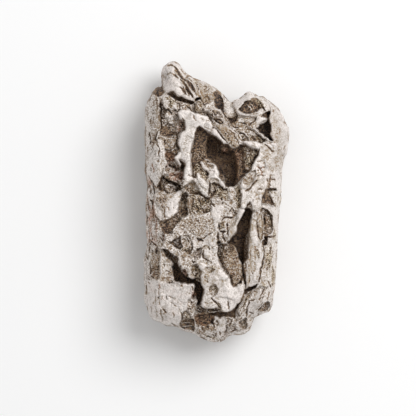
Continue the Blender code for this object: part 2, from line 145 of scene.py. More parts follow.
# ledges, plates and hollows of the front, each over the ones before it
stone["ledges"] = [
    ledge("left strip", 16, "pale", "-15,21 -12.9,21.5 -11.3,20.4 -11.1,17 -11.2,15 -11.9,13.3 -12,11 "
          "-11.3,9 -11.2,6 -11.4,3.6 -12.2,2.4 -13.6,5 -15,5", lean=(0.28, 0), wall=0.7, streak=0.9,
          mixed="dusk", share=0.38),
    ledge("left flank", 15.8, "pale", "-15,5 -13.6,5.1 -12.2,2.5 -12.3,1 -12.4,-1 -12.2,-2.6 -11.4,-3.8 "
          "-10.9,-5 -10.2,-7.4 -10.8,-9.2 -15,-9", lean=(0.28, 0), wall=0.7, streak=0.9, turn=86,
          mixed="rust", share=0.26),
    ledge("left foot edge", 15.9, "pale", "-15,-8.8 -13.2,-7.6 -11.4,-9.4 -11.3,-16 -15,-16.3",
          lean=(0.22, 0), wall=0.7, streak=0.7, turn=84, mixed="brown", share=0.45),
    ledge("right flank", 16.6, "cream", "13.5,3 11.4,2 11.4,-1 11.2,-5 10.8,-8 9.4,-8.4 9.4,-11 "
          "8.6,-14.5 8.6,-16.6 9.6,-17.4 11,-22 13,-22", lean=(-0.22, 0), wall=0.8, streak=0.6, turn=88,
          mixed="olive", share=0.14),
    # the peak
    ledge("fin", 13.6, "bright", "-11.5,21.6 -11.5,28.5 -6,28.5 -3,25.5 -0.6,23.4 -0.8,20.6 -2.4,19.4 "
          "-3.4,20.4 -4.2,20.1 -5,19.9 -6,20.3 -6.4,20.6 -7,20.7 -7.5,20.8 -8.2,21.4 -8.9,21.9 -9.6,21.7 "
          "-10.4,21.7", lean=(0.05, -0.28), wall=0.7, streak=0.7, turn=-52),
    ledge("fin's far side", 13.2, "smudge", "-6.8,26.4 -5,25.2 -0.6,23.5 -0.8,20.6 -1.2,19.4 -2.4,19.4 "
          "-3.4,20.2 -4.2,21.6 -5.6,23.6 -6.8,25", lean=(0, -0.25), wall=0.5, streak=0.5, turn=-60,
          mixed="slate", share=0.4),
    ledge("fin's face", 13.9, "bright", "-10.9,22.4 -10.9,25.4 -9.2,25 -7.8,24.2 -7,23.2 -6.2,21.6 "
          "-5.6,20.4 -6.4,20.7 -7.4,21 -8.2,21.6 -8.9,22.1 -9.6,21.9", lean=(0.05, -0.2), wall=0.5,
          streak=0.5, turn=-52),
    ledge("peak's right slope", 12.9, "pale", "-0.9,19 -1,21.5 -0.8,23.3 2,22 3.4,19.6 3.8,17.6 2.8,16.4 "
          "1,18", lean=(-0.1, -0.28), wall=0.6, mixed="smudge", share=0.5),
    ledge("slope's lump", 13.9, "cream", "1.5,18.3 2.2,19.1 3,18.8 3.5,18.2 3.4,17.2 2.7,16.5 2.2,16.9 "
          "1.7,17.5", wall=0.4, dome=0.5),
    ledge("dusky lump", 11.4, "gap", "-13.1,21.8 -12.6,22.7 -11.8,23.2 -10.9,23 -10.5,22.2 -10.6,21.4 "
          "-11.6,21 -12.5,21.1", wall=0.6, dome=0.7, mixed="black", share=0.4),
    ledge("peak pit", 11.6, "deep", "-0.7,21.7 -0.2,22.1 0.3,21.9 0.8,21.2 1.1,20.4 1.3,19.5 1.4,18.5 "
          "1.1,18.1 0.4,18.4 0,18.5 -0.5,18.9 -0.4,20 -0.6,21", wall=0.5, streak=0.5, turn=0, mixed="gap",
          share=0.45),
    ledge("fin's oval", 12.9, "olive", "-2.8,22.6 -2.3,23.1 -1.8,22.8 -1.6,22.1 -2.1,21.8 -2.7,22",
          wall=0.6, mixed="grey", share=0.5, blur=0.6),
    ledge("fin's hollow", 12.9, "grey", "-2.8,20.4 -2.2,21 -1.6,20.8 -1.5,19.9 -2.3,19.6", wall=0.6,
          mixed="olive", share=0.5, blur=0.6),
    # the left shelf
    ledge("left shelf", 15.9, "pale", "-11.1,20.8 -8,20.3 -5,19.2 -4.6,17.6 -8,17.9 -7.6,12 -7.6,8 -11,6 "
          "-11.3,12", lean=(0.1, 0), wall=0.6, mixed="brown", share=0.42),
    ledge("brown slit", 14.6, "brown", "-11.3,19.8 -10.8,19.7 -10.4,18.9 -10.2,18 -9.6,17.7 -10.2,17.4 "
          "-10.6,16.6 -11.2,16.2 -11.4,18", wall=0.5),
    ledge("cream block", 16.9, "cream", "-10.9,20.9 -9.6,21.1 -8.6,20.5 -7.9,19.6 -7.7,18.4 -7.8,17.8 "
          "-8.3,18.2 -9,18.1 -10,18.1 -10.4,18.6 -10.7,19.4", lean=(0, -0.1), wall=0.4, dome=0.2,
          mixed="olive", share=0.2),
    ledge("grey ledge", 16.4, "grey", "-8,19.8 -7,19.7 -6,19.5 -5.1,19.3 -4.9,18.6 -5.2,18.2 -6,18.4 "
          "-7.8,18.2 -8,19", lean=(0, -0.15), wall=0.4, dome=0.1, mixed="brown", share=0.3),
    ledge("tooth", 17.3, "olive", "-4.3,18.6 -4.2,19.7 -3.6,20.1 -3.1,19.6 -2.6,18.8 -2.9,18.1 -3.5,17.5 "
          "-4.1,17.8", wall=0.4, dome=0.3, mixed="grey", share=0.4, rim=1),
    ledge("small granular step", 16.4, "pale", "-2.7,19.2 -1.6,19.4 -0.8,18.7 -1.3,18.3 -1.9,17.4 "
          "-2.8,17.9", wall=0.4, dome=0.2),
    ledge("granular lump", 16.9, "cream", "-10.4,17.4 -9.7,17.8 -9,17.2 -8.5,16.6 -8.3,15.9 -7.9,15.5 "
          "-9,15 -9.7,15.5 -9.9,16.2 -10.3,16.7", wall=0.5, dome=0.3, mixed="dusk", share=0.25),
    ledge("brown strip", 15.8, "brown", "-8.9,18 -8.1,18.2 -7.8,17.6 -7.7,16.9 -7.4,16.2 -8.2,15.9 "
          "-8.5,17", wall=0.4, mixed="pale", share=0.2),
    ledge("shelf floor", 15.3, "brown", "-11.1,15.6 -9.6,15.4 -8.2,15 -7.9,13.6 -8.6,12.9 -11.2,13",
          wall=0.6, mixed="cream", share=0.42, blur=0.6),
    ledge("shelf cavity", 16, "brown", "-7.8,15.6 -6.9,15.8 -6.4,15.2 -6.3,14.2 -6.9,13.6 -8,13 "
          "-8.4,13.6 -8,14.5", wall=0.5, mixed="rust", share=0.4, blur=0.4),
    ledge("grey lump", 16.8, "grey", "-11.9,12.9 -10.8,13.1 -9.6,12.7 -8.5,12.5 -8.1,11.4 -8.4,10.4 "
          "-9.4,10.2 -10.8,10.4 -11.6,10.4", wall=0.5, dome=0.2, mixed="dusk", share=0.35, blur=0.5),
    ledge("left column", 17, "cream", "-13.9,9.9 -12.6,10.6 -11.9,12.4 -11,12 -10.4,10.6 -10,9.4 -10,8.2 "
          "-9.6,7.2 -10.5,6.6 -10.8,5.5 -11,4.8 -11.5,3.6 -12.1,2.7 -12.8,3.6 -13.6,5 -14,7",
          lean=(0.1, 0), wall=0.5, dome=0.2, blur=0.5),
    ledge("rust pocket", 15.4, "wine", "-10.1,9.9 -9.4,9.7 -8.6,10.3 -7.8,10.4 -7.5,10 -8.1,9.3 -8.4,8.5 "
          "-8.6,8 -9.6,7.6 -10,8.8", wall=0.4, mixed="rust", share=0.3),
    ledge("gap's brown filling", 16.9, "brown", "-8.6,12.8 -7.8,13 -7.5,11.8 -7.4,10.8 -7.1,10.2 "
          "-7.5,9.7 -8.3,9.2 -9.1,10.1 -8.5,11", wall=0.5, mixed="dusk", share=0.35, blur=0.3),
    ledge("white ridge", 18.9, "bright", "-7.7,17.4 -7.4,18 -6.4,18.15 -5.6,18 -4.8,17.5 -3.7,17.2 "
          "-2.8,17 -2,16.85 -1.4,16.4 -1.1,15.8 -0.9,15.1 -0.9,14.5 -1.2,13.8 -1.6,13.5 -2.2,14 "
          "-2.9,14.5 -3.4,14.7 -3.9,14.4 -4,13.4 -4.2,12.6 -4.7,12.1 -5,11.5 -5.1,10 -5.15,7 -5.05,6.4 "
          "-4.9,5.6 -4.6,5 -4.6,4.4 -5,3.9 -5.9,3.1 -6.5,2.7 -6.9,3.1 -6.9,3.7 -6.7,4.3 -6.5,5 -6.4,6 "
          "-6.3,7 -6.4,7.8 -7,8.3 -7.5,8.3 -7.2,7.6 -7,6.8 -7.4,7 -7.8,7.7 -8.3,8.2 -8.4,8.7 -7.9,9.3 "
          "-7.3,9.7 -7.2,10.1 -7.5,10.7 -7.7,11.5 -7.6,12.3 -7.3,13.1 -6.9,13.6 -6.4,13.9 -6.2,14.4 "
          "-6.3,15.1 -6.5,15.7 -6.8,16.1 -7.3,16.1 -7.6,16.6", lean=(-0.04, -0.03), wall=0.35, dome=0.5,
          curve=0.5, rim=0.35),
    # round the tongue
    ledge("looped pocket", 15.7, "brown", "-9.7,8.3 -8.6,8.2 -7.9,7.6 -7.2,6.6 -6.6,7.6 -6.4,7 -6.5,5.4 "
          "-6.9,4 -7.4,4.2 -8,4.8 -8.8,5.2 -9.6,5.6 -10.3,6.4 -9.8,7.4", wall=0.4, mixed="rust",
          share=0.5),
    ledge("pink crumbs", 16.2, "pale", "-10,6.8 -9.2,7 -8.6,6.4 -8.2,5.8 -7.4,6.1 -7.3,5.6 -8.2,5.3 "
          "-8.6,4.9 -9.4,5.2 -10.2,5.8", wall=0.4, mixed="rust", share=0.5),
    ledge("pink ledge", 16.5, "cream", "-10.6,5.6 -9.8,5.2 -8.8,5.1 -8,4.8 -7.5,4.2 -7.2,3.4 -8,4 "
          "-8.8,4.2 -9.6,4.5 -10.4,4.8", wall=0.35, dome=0.1, mixed="rust", share=0.2),
    ledge("looped pocket's knob", 16.2, "pale", "-8.5,7.7 -8,7.7 -7.8,7.1 -8.1,6.8 -8.5,7.1", wall=0.4,
          dome=0.3),
    ledge("hollow over the tongue", 14.2, "brown", "-11,4.9 -10.6,5.2 -10.3,4.7 -9.4,4.3 -8.5,4 -7.6,3.7 "
          "-7,2.9 -6.9,2.4 -7.3,2 -8,1.9 -9,1.8 -9.5,1.4 -10.3,1.2 -11.1,1.4 -11.4,2.2 -12,2.7 -11.3,3.7",
          wall=0.6, mixed="olive", share=0.45, blur=0.5),
    ledge("hollow's grains", 15.6, "grey", "-10.6,3.4 -9.6,3.6 -8.4,3.4 -7.8,2.6 -8.4,1.8 -9.6,1.6 "
          "-10.4,2.2", wall=0.7, dome=0.3, mixed="brown", share=0.45, blur=0.7),
    ledge("tongue", 17.2, "smudge", "-12.1,2 -11.4,2.1 -10.6,2 -10.2,1.6 -9.4,1.6 -8.6,1.7 -7.6,2 "
          "-6.9,2.3 -6.5,1.4 -6.9,0.7 -7.4,0 -7.5,-0.8 -7.7,-1.8 -8.1,-2.6 -8.6,-3.1 -9.3,-3.5 -9.9,-3.5 "
          "-10.3,-3 -10.9,-3.7 -11.5,-3.4 -12,-2.8 -12.3,-1.6 -12.3,-0.2 -12.1,1", lean=(0.04, -0.2),
          wall=0.35, dome=0.3, curve=0.7, mixed="pale", share=0.5, rim=0.2),
    ledge("tongue's right edge", 17.6, "bright", "-9.9,0.6 -8.6,1.2 -7.6,2 -6.9,2.3 -6.6,1.4 -7,0.6 "
          "-7.5,-0.4 -7.6,-1.4 -8,-2.4 -8.7,-3 -9.6,-3.3 -10.2,-2.8 -10.2,-1.6 -9.8,-0.4",
          lean=(0.04, -0.2), wall=0.8, blur=0.7, dome=0.1),
    ledge("tongue's left edge", 17, "bright", "-12.2,0 -11.8,-0.8 -11.2,-1.2 -10.6,-2 -10.5,-3.2 "
          "-10.9,-3.6 -11.5,-3.3 -12,-2.7 -12.3,-1.5", lean=(0.04, -0.2), wall=0.6, blur=0.5, dome=0.1),
    ledge("olive valley", 15.9, "olive", "-5,3.9 -4.3,3.9 -3.8,2.9 -3.3,2.1 -2.8,1.3 -2,0.9 -1.7,0.5 "
          "-2.2,0.3 -3.2,1.1 -4.2,1.3 -5.3,1.4 -5.9,2 -6.8,2.7 -6.2,3.1 -5.6,3.5", wall=0.5,
          mixed="brown", share=0.3, blur=0.4),
    ledge("cavity by the tongue", 14.9, "brown", "-6.6,1.4 -6.1,1.8 -5.6,1.2 -5.8,0.3 -5.9,-0.8 "
          "-5.8,-1.6 -5.8,-2.6 -6.2,-3.1 -7.2,-3.2 -8,-3.4 -8.9,-3.6 -8.5,-3 -7.8,-2.1 -7.5,-1 -7.3,0.2",
          wall=0.5, mixed="olive", share=0.35),
    ledge("hollow below the tongue", 15.6, "dusk", "-11.5,-3.9 -9.6,-3.6 -8.5,-3.2 -7,-3.3 -6.9,-4 "
          "-8,-4.6 -8.4,-5.6 -8.9,-6.2 -9.9,-6.4 -10.8,-5.8 -11.4,-4.8", wall=0.6, mixed="deep",
          share=0.5, blur=0.7),
    # the middle
    ledge("olive field", 17.3, "olive", "-5.9,1 -5.2,1.3 -3.6,1.2 -2,0.3 -1.3,0.3 -1.2,-1.9 -2.2,-2.3 "
          "-3,-2.6 -4,-2.8 -5,-2.5 -5.8,-2.4 -5.9,-0.7", lean=(0, 0.08), wall=0.4, dome=0.1, mixed="grey",
          share=0.35),
    ledge("olive field's block", 17.5, "dusk", "-5.8,0.3 -5.2,0.4 -4.9,-0.2 -4.9,-1.1 -5.3,-1.3 -5.8,-1",
          wall=0.35, dome=0.3),
    ledge("pale field", 18.1, "pale", "-1.3,0.4 0.4,0.9 2,0.4 4.4,-0.6 4.6,-2 3.8,-4.6 2,-7.8 0,-6.2 "
          "-0.9,-6.2 -0.7,-5.4 -1.6,-3.6 -1.2,-2", wall=0.4, dome=0.1, mixed="cream", share=0.4),
    ledge("pale field's bright band", 18.4, "bright", "-1,-0.9 0.4,-0.8 1.4,-0.8 1.2,-1.6 0.5,-2.6 "
          "0.6,-3.8 0.2,-4.6 0.1,-5.8 -0.4,-5.9 -0.5,-4.8 -0.8,-3.4 -1.2,-2.4", wall=0.5, blur=0.6),
    ledge("speckled diamond", 18.3, "pale", "-6.8,-3.4 -5.8,-3 -4,-2.9 -2.5,-3 -1.5,-4 -0.9,-5 -0.8,-5.9 "
          "-1.5,-6.6 -2.5,-7.2 -3.1,-7.8 -3.8,-7.6 -4.2,-7 -5.4,-6.6 -7,-6.7 -8,-7.2 -8.8,-7.7 -9.6,-7.4 "
          "-9,-6.4 -8.4,-5", lean=(-0.03, 0.04), wall=0.4, dome=0.1, mixed="grey", share=0.4),
    ledge("grey middle", 18.1, "pale", "-5,-9.9 -4.7,-8.6 -5,-7.5 -4.1,-7.7 -2.8,-7.8 -1.9,-7.2 "
          "-0.9,-6.6 -0.5,-6.1 0,-6.1 0.15,-7.5 0.15,-9.5 0.2,-11 0.7,-12.2 1.1,-13 -1,-12.9 -2.4,-12.8 "
          "-3.2,-13.4 -4.4,-12.2 -4.8,-11.2", wall=0.4, dome=0.1, mixed="bright", share=0.5),
    # the big pit
    ledge("pit rim", 14.6, "earth", "-4,14.5 -3.3,14.7 -2.2,14 -1.4,13.4 0,12.7 1.1,12 1.6,11.3 3.2,10.9 "
          "5.2,11.2 6.7,10.7 8.3,10 8,8.9 7,7.2 6.4,6 5.4,5.1 4.4,4.2 4,3.2 1.8,2.7 0,4.4 -2.2,5.3 "
          "-3.2,5 -4.4,4.5 -5,6 -5.1,8 -5.1,10.4 -4.5,12.1", wall=0.7, streak=0.6, turn=84, mixed="deep",
          share=0.45),
    ledge("pit's right brown wall", 14.4, "earth", "3.5,9.8 4.9,10.7 5.3,9.6 5.2,8 5.1,6.4 4.8,5.2 "
          "4.3,4.2 3.6,3.4 3.7,5 3.8,7", wall=0.6, streak=0.5, turn=86, mixed="wine", share=0.4,
          blur=0.4),
    # the pit's black finish is partly painted shade, on top of the shade its depth casts
    ledge("pit", 10.6, "black", "-1.8,12.6 -0.9,12.9 0.2,12.4 0.7,11.7 0.6,10.6 1.2,9.9 2.7,9.9 3.3,9.5 "
          "3.6,8.8 3.7,8 3.8,7 3.9,6 3.8,5 3.6,4.2 3.4,3.3 3,3 2.2,3.1 1.8,3.5 1.6,4.5 1.3,5.4 0.9,5.6 "
          "0.5,6.3 0.1,7.3 -0.5,8 -1.2,8.4 -1.8,8.8 -1.9,9.8 -1.9,11", wall=1.1, mixed="dark", share=0.2,
          blur=0.7),
    ledge("rust knob", 14, "deep", "0.3,11.1 1.1,11.6 1.9,11.3 2.6,10.6 2.4,9.9 1.4,9.8 0.6,10.2",
          wall=0.6, dome=0.5, mixed="rust", share=0.4),
    ledge("pit's right wall", 16.2, "dusk", "5,11 6.6,10.8 8.3,10.1 8,8.9 7,7.2 6.6,6.2 5.6,6 5.2,8 "
          "5.4,9.6", wall=0.6, mixed="olive", share=0.4, blur=0.5),
    ledge("wall's grains", 16.8, "cream", "5.6,9.9 6.3,9.7 6.8,9 6.9,8.2 6.7,7.5 6.1,7.4 5.9,8.6",
          wall=0.5, dome=0.4, mixed="olive", share=0.45, blur=0.5),
    ledge("fang's wall", 13.4, "dusk", "0.7,5.2 1.4,5.3 1.7,4.6 1.7,3.4 1.2,3.8 0.7,4.4", wall=0.5,
          mixed="brown", share=0.4),
    ledge("granular wall", 16.6, "olive", "-4.9,5.4 -4.7,6.8 -4.2,7.5 -3.4,7.6 -2.8,6.6 -2,5.6 -1.6,4.8 "
          "-2,4.2 -3,4.6 -3.8,5.4 -4.4,4.4", wall=0.5, dome=0.2, mixed="grey", share=0.35),
    ledge("upper fang", 17.4, "bright", "-3.4,7.9 -2.8,8.2 -2.2,8.4 -1.6,8.1 -1.1,7.75 -0.6,7.5 "
          "-0.1,7.05 0.3,6.4 0.55,5.6 0.5,4.9 0.8,4.3 1.3,3.9 1.6,3.3 1.65,2.7 1.2,2.8 0.7,3.2 0.2,3.6 "
          "-0.4,3.9 -1.2,4.3 -1.8,4.8 -1.7,5.4 -2.2,5.9 -2.8,6.4 -3.2,7.1", lean=(0, -0.1), wall=0.35,
          dome=0.5, curve=0.6),
    ledge("fang's hollow", 16.8, "grey", "-2.9,7.8 -2.2,8.1 -1.6,7.9 -0.9,7.5 -0.6,7 -0.9,6.5 -1.5,6.6 "
          "-1.9,7.1 -2.5,7.3", wall=0.5, mixed="dusk", share=0.5),
    ledge("lower fang", 17.9, "cream", "-4.3,4.2 -4.2,5 -3.8,5.8 -3.4,5.6 -3,4.8 -2.4,4.2 -1.9,3.9 "
          "-1.7,3.2 -1.7,1.3 -2,1 -2.5,1.1 -3.1,1.6 -3.5,2.3 -3.9,3.1", wall=0.35, dome=0.5, curve=0.6,
          rim=0.2),
    ledge("knobbly hollow", 16.4, "brown", "-1.6,4.2 -0.6,3.9 0.3,3.5 0.9,3 1.4,2.5 2,2.6 1.9,1.6 1.2,1 "
          "0.2,0.8 -1,0.9 -1.6,1.5", wall=0.4, mixed="olive", share=0.6),
    ledge("loop", 17.2, "olive", "-1.6,4.5 -0.9,4.6 -0.1,4.4 0.4,4 0.2,3.6 -0.6,3.7 -1.1,3.3 -1.2,2.4 "
          "-1.5,2", wall=0.3, mixed="cream", share=0.5),
    ledge("knobbly knob", 17.2, "grey", "-1.2,3 -0.7,3.1 -0.5,2.5 -0.7,1.8 -1.2,1.8", wall=0.4, dome=0.3),
    ledge("grainy corner", 17.4, "grey", "0.6,2 1.4,2.3 2.1,2.2 2.3,1 2,0.2 0.6,0.4 0.4,1.2", wall=0.5,
          dome=0.2, mixed="olive", share=0.4),
    ledge("grey knob", 18, "grey", "2.1,2.5 2.4,2.9 3.1,2.95 3.5,2.6 3.6,1.4 3.5,0 2.8,-0.6 2.1,0",
          wall=0.35, dome=0.5, mixed="pale", share=0.6, rim=0.5),
    # between the peak and the crown
    ledge("oval shell", 17, "grey", "-1.9,17.6 -1.4,18.3 -0.6,18.5 0.2,18.3 0.9,17.7 1.4,17 1.5,16 "
          "1.1,15.6 0.6,15.5 0,15.8 -0.8,16.2 -1.5,16.8", wall=0.35, dome=0.5, mixed="brown", share=0.5,
          rim=1),
    ledge("pale strip", 16.6, "grey", "0.9,18.1 1.6,17.1 2.3,16 2.9,14.9 2.3,14.8 1.6,15.6 1.6,16.6",
          wall=0.4, dome=0.1),
    ledge("white strip", 17.4, "bright", "-1,14.4 -0.5,14.5 0.1,14 0.8,13.1 1.5,12.2 2.4,11.4 2.3,11.2 "
          "1.3,11.3 0.9,12.1 0.3,12.4 -0.4,12.9 -1,13.1", wall=0.35, dome=0.2, curve=0.5),
    ledge("diagonal plate", 17.7, "slate", "-0.9,15.2 0.5,15.25 1.6,15.1 2.3,14.5 3.1,13.7 3.7,12.9 "
          "4.1,12 4.4,11.2 3.9,10.7 3.2,10.3 2.6,11 1.8,12 1.1,12.8 0.4,13.8 -0.1,14.6 -0.8,14.8",
          lean=(0.05, -0.05), wall=0.35, dome=0.1, streak=0.4, turn=-48, mixed="olive", share=0.2,
          rim=0.6),
    ledge("granular top", 16.9, "grey", "2.2,15.4 3.4,15.5 4.4,16.6 6.4,16.8 7.6,16.2 8.2,15.5 7.6,14.3 "
          "7,13.4 6.3,12.6 5.4,11.9 4.7,12 4.2,12.9 3.2,14", wall=0.4, dome=0.1, mixed="pale", share=0.5),
    ledge("dark triangle on top", 16.2, "olive", "4,13.4 4.9,13.6 5.8,13 6.3,12.4 5.8,12 4.7,12.1",
          wall=0.4, mixed="brown", share=0.5),
    ledge("granular pocket", 16.6, "olive", "6.3,13 7.4,13.4 8.4,12.9 9.9,11.9 8.4,11.6 6.6,11.8",
          wall=0.4, mixed="grey", share=0.4),
    ledge("crevice", 13.6, "dark", "2.1,16.7 2.8,16.3 3.4,17 3.6,18.4 4,18.5 4.2,17.1 4,16.2 3.6,15.8 "
          "3,15.5 2.6,15.3 2.3,16", wall=0.5, mixed="olive", share=0.5),
    # the crown
    ledge("crown", 15.8, "cream", "3.1,19.7 4.3,20.9 5.6,22 7.2,22 9.2,21.2 11.3,19.5 11.4,17 10.2,15.6 "
          "8.4,15.4 7.4,15.9 5.4,16.3 4.2,17 3.6,18.4", lean=(0, -0.12), wall=0.5, dome=0.1,
          mixed="bright", share=0.5),
    ledge("crown hollow", 14, "earth", "4.2,18.1 4.8,18.8 5.4,19.5 6,20 6.8,20.15 7.4,20 8,19.2 8.5,18.7 "
          "8.7,18.3 8.2,18 7.6,17.6 6.6,17.4 5.6,17.5 4.8,17.7", wall=0.5, streak=0.8, turn=48,
          mixed="umber", share=0.4),
    ledge("crown's upper hollow", 14.6, "olive", "6.9,20.3 7.2,20.7 7.9,20.6 8.3,20 8.7,19.4 9.2,18.9 "
          "8.8,18.7 8,19.2 7.4,19.8", wall=0.4, mixed="earth", share=0.4),
    ledge("crown's dark wedge", 13.4, "dark", "8.9,18.9 9.3,18.7 9.8,18.1 9.6,18 9,18.4", wall=0.4),
    ledge("crown's second hollow", 13.8, "deep", "8.9,17.2 9.6,17.7 10.5,17.9 10.5,17.2 10.3,16.6 "
          "9.8,16.5 9.3,16.8", wall=0.4, mixed="dusk", share=0.4),
    ledge("hollow's lump", 15.2, "pale", "8.5,18.3 9,18.4 9.6,17.9 9.2,17.6 8.6,17.7", wall=0.4, dome=0.3,
          mixed="rust", share=0.3),
    ledge("crown's finger", 16.6, "bright", "4.4,17.3 5.5,17.3 6.6,17.1 8.2,17 8.9,16.8 9.9,16.3 9.7,16 "
          "9,15.8 8.3,15.4 8.2,14.8 7.6,14.8 7.4,15.6 7.8,16.3 7,16.7 5.6,16.9 4.4,17", wall=0.35,
          dome=0.3, curve=0.5, mixed="smudge", share=0.4),
    ledge("horn", 16.3, "steel", "10.4,20 11.3,19.4 13,17.4 14.5,14.5 14.3,11 13.6,8 13.2,6 13.2,2 12,2 "
          "11.6,6 11.4,8.8 11.4,11 11,12 10.5,12.8 10.7,14 10.6,15.2 10.3,16.2 10.4,17.4 10.6,18",
          lean=(-0.2, -0.08), wall=0.4, dome=0.2, mixed="smudge", share=0.3),
    ledge("black hole", 11.6, "gap", "8.3,15.1 8.5,15.35 9.3,15.45 9.8,15.7 10.05,16.1 10.05,16.8 "
          "9.9,17.3 10.1,17.7 10.5,17.8 10.5,17 10.35,16.3 10.5,15.6 10.7,14.8 10.65,14 10.5,13.3 "
          "10.8,12.6 11.1,11.95 10.6,12 9.9,12.6 9.2,13.2 8.5,13.6 8.2,14.1 7.6,14.5 8.2,14.6", wall=0.5,
          mixed="deep", share=0.35),
    # the right plate and its cavities
    ledge("right plate", 18.7, "bright", "5.1,11.8 6,12.1 7,12 7.8,11.8 8.6,11.4 10.2,11.4 11.2,11.6 "
          "12,11.2 12,9.6 11.6,8.8 11.5,8 11.4,6.8 11.1,5.8 10.6,5 10.3,4.4 10.1,3.7 9.8,2.6 9.4,1.4 "
          "9,0.4 8.7,-0.3 8.5,-1.4 8,-1.9 7.4,-2.1 7.1,-1.7 6.9,-1 6.8,-0.4 6.4,-0.1 6,-0.4 5.9,-1.2 "
          "5.5,-1.5 4.7,-1.4 4.8,0 4.8,1 4.6,2.5 4.5,3.4 4.8,4.3 5.6,4.6 6.4,5.2 6.7,6.2 6.9,7 7.4,7.9 "
          "7.9,8.7 8.3,9.5 8.3,10.2 7.4,10.3 6.6,10.8 5.5,11.2", lean=(-0.17, -0.04), wall=0.4, dome=0.4,
          curve=0.6, mixed="steel", share=0.5, rim=0.2),
    ledge("plate's grains", 18.2, "dusk", "5.2,4.4 6,4.9 6.6,5.8 7.4,6.1 7.9,5.2 7.2,4.4 6.6,3.6 5.8,3.6 "
          "5.1,3.5", wall=0.4, dome=0.1, mixed="cream", share=0.6),
    ledge("olive strip", 17.7, "olive", "3.7,3 4.3,3.2 4.7,2 4.8,0.6 4.7,-1.2 4.1,-1.2 3.7,0.4", wall=0.4,
          streak=0.5, mixed="grey", share=0.5, blur=0.4),
    ledge("first side cavity", 15.6, "dusk", "10.2,2.7 9.8,2 9.4,1.2 9,0.5 8.7,-0.3 9.1,-0.2 9.6,-0.4 "
          "10.4,-0.6 11.3,-0.9 11.3,-0.3 11,0.4 11.4,1.2 11.5,2 11.7,2.6 10.9,2.5", wall=0.5,
          mixed="earth", share=0.4),
    ledge("cavity's grains", 16.2, "cream", "10.3,2.1 11,2.1 11.9,2.2 12,1.3 11.9,0.3 11.5,-0.4 11.2,0.2 "
          "10.7,0.9 10.3,1.5", wall=0.4, dome=0.2, mixed="olive", share=0.3),
    ledge("cavity's olive", 15.2, "earth", "9.9,0.9 10.6,0.7 11.1,0 10.9,-0.5 10,-0.3 9.8,0.3", wall=0.5,
          mixed="dusk", share=0.3),
    ledge("second side cavity", 15.2, "brown", "8.6,-1.4 9.4,-1.3 10.1,-1.6 10.6,-2.2 11,-2.9 11.1,-4.2 "
          "11.2,-5 10.8,-6 10.4,-6.6 9.7,-6.9 9.3,-6 9.3,-4.4 9.2,-3 8.7,-2.4", wall=0.5, mixed="earth",
          share=0.35),
    ledge("cavity's rust", 15.6, "rust", "9.8,-3 10.4,-3.3 10.6,-4.2 10.4,-5 9.9,-5.4 9.5,-4.8 9.5,-3.6",
          wall=0.6, dome=0.2, mixed="olive", share=0.5),
    ledge("dark patch", 15.2, "deep", "8.7,-8 9,-7.7 9.35,-7.6 9.35,-7 9.8,-6.95 10.1,-7.4 9.85,-8 "
          "9.7,-8.5 9.3,-8.7 8.9,-8.5", wall=0.4),
    ledge("lip", 16.6, "bright", "8.7,-0.4 9.6,-0.5 10.6,-0.8 11.3,-1.1 12.2,-0.9 12.2,-2.7 11.2,-2.8 "
          "10.7,-2 10.1,-1.5 9.4,-1.3 8.7,-1.3", lean=(-0.3, 0), wall=0.35, dome=0.2),
    # the long leaf and the slot
    ledge("sliver", 17.4, "steel", "8,-2.6 8.6,-2.2 9.1,-3 9.2,-5 9.2,-6.8 8.8,-7.9 8.3,-7.2 8.1,-6 8,-4",
          lean=(-0.25, 0), wall=0.35, dome=0.2, streak=0.8, turn=88, mixed="slate", share=0.5),
    ledge("long leaf", 17.9, "smudge", "7,-3.5 7.9,-3.6 8,-5 8.1,-6.4 8.6,-7.8 8.9,-8.8 9.25,-10 9.2,-11 "
          "8.95,-12 8.75,-13 8.5,-14 8.2,-15 7.8,-16 7.2,-16.6 6.3,-17 5.6,-17.3 5.6,-16 5.7,-14.5 "
          "5.5,-13 5.6,-11.8 6,-11 6.05,-9.6 6,-8.2 6.2,-6.8 6.4,-5.2 6.6,-4.2", lean=(-0.05, 0.02),
          wall=0.35, dome=0.3, curve=0.7, streak=0.7, turn=84, mixed="bright", share=0.45, rim=0.5),
    ledge("slot", 11.6, "black", "5.8,-1.4 6.5,-1.5 6.9,-1.8 6.8,-2.6 6.8,-3.2 6.5,-4.2 6.3,-5.6 6.1,-7 "
          "5.9,-8.2 5.9,-9.5 5.9,-10.8 5.5,-11.6 5.2,-12.4 4.9,-12.3 4.4,-11.5 4.1,-10.2 3.7,-9.2 "
          "2.9,-8.8 2,-8.3 2.1,-8 2.7,-7.8 2.9,-7 3.6,-6.6 4.1,-5.9 4.1,-4.8 4.5,-3.8 5,-2.9 5.6,-2",
          wall=0.9, mixed="deep", share=0.35),
    ledge("slot's right wall", 13.4, "deep", "6.4,-6.6 6.1,-7.8 6.1,-9.4 6.1,-10.8 5.7,-11.6 5.3,-11.6 "
          "5.2,-10 5.4,-8 5.8,-6.6", wall=0.8, streak=0.8, turn=86, mixed="brown", share=0.6),
    ledge("spine", 18.8, "bright", "4.4,-1.3 5.7,-1.5 5.3,-2.3 4.6,-3.6 4.1,-4.6 4,-5.8 3.3,-6.5 "
          "2.8,-7.1 2.5,-7.8 1.7,-7.9 2,-7.2 2.3,-6.2 2.4,-5.2 3.3,-4.7 3.9,-3.8 3.9,-2.6", wall=0.35,
          dome=0.3, curve=0.5, mixed="smudge", share=0.4),
    ledge("spine's olive notch", 17.3, "olive", "3,-1.9 3.8,-1.9 3.8,-2.9 3.1,-3", wall=0.35,
          mixed="brown", share=0.5),
    ledge("pale field's knob", 18.6, "cream", "0.4,-4.3 1,-4 1.7,-4.2 1.9,-5 1.7,-5.7 1.1,-5.9 0.5,-5.4 "
          "0.3,-4.8", wall=0.3, dome=0.5, mixed="olive", share=0.3),
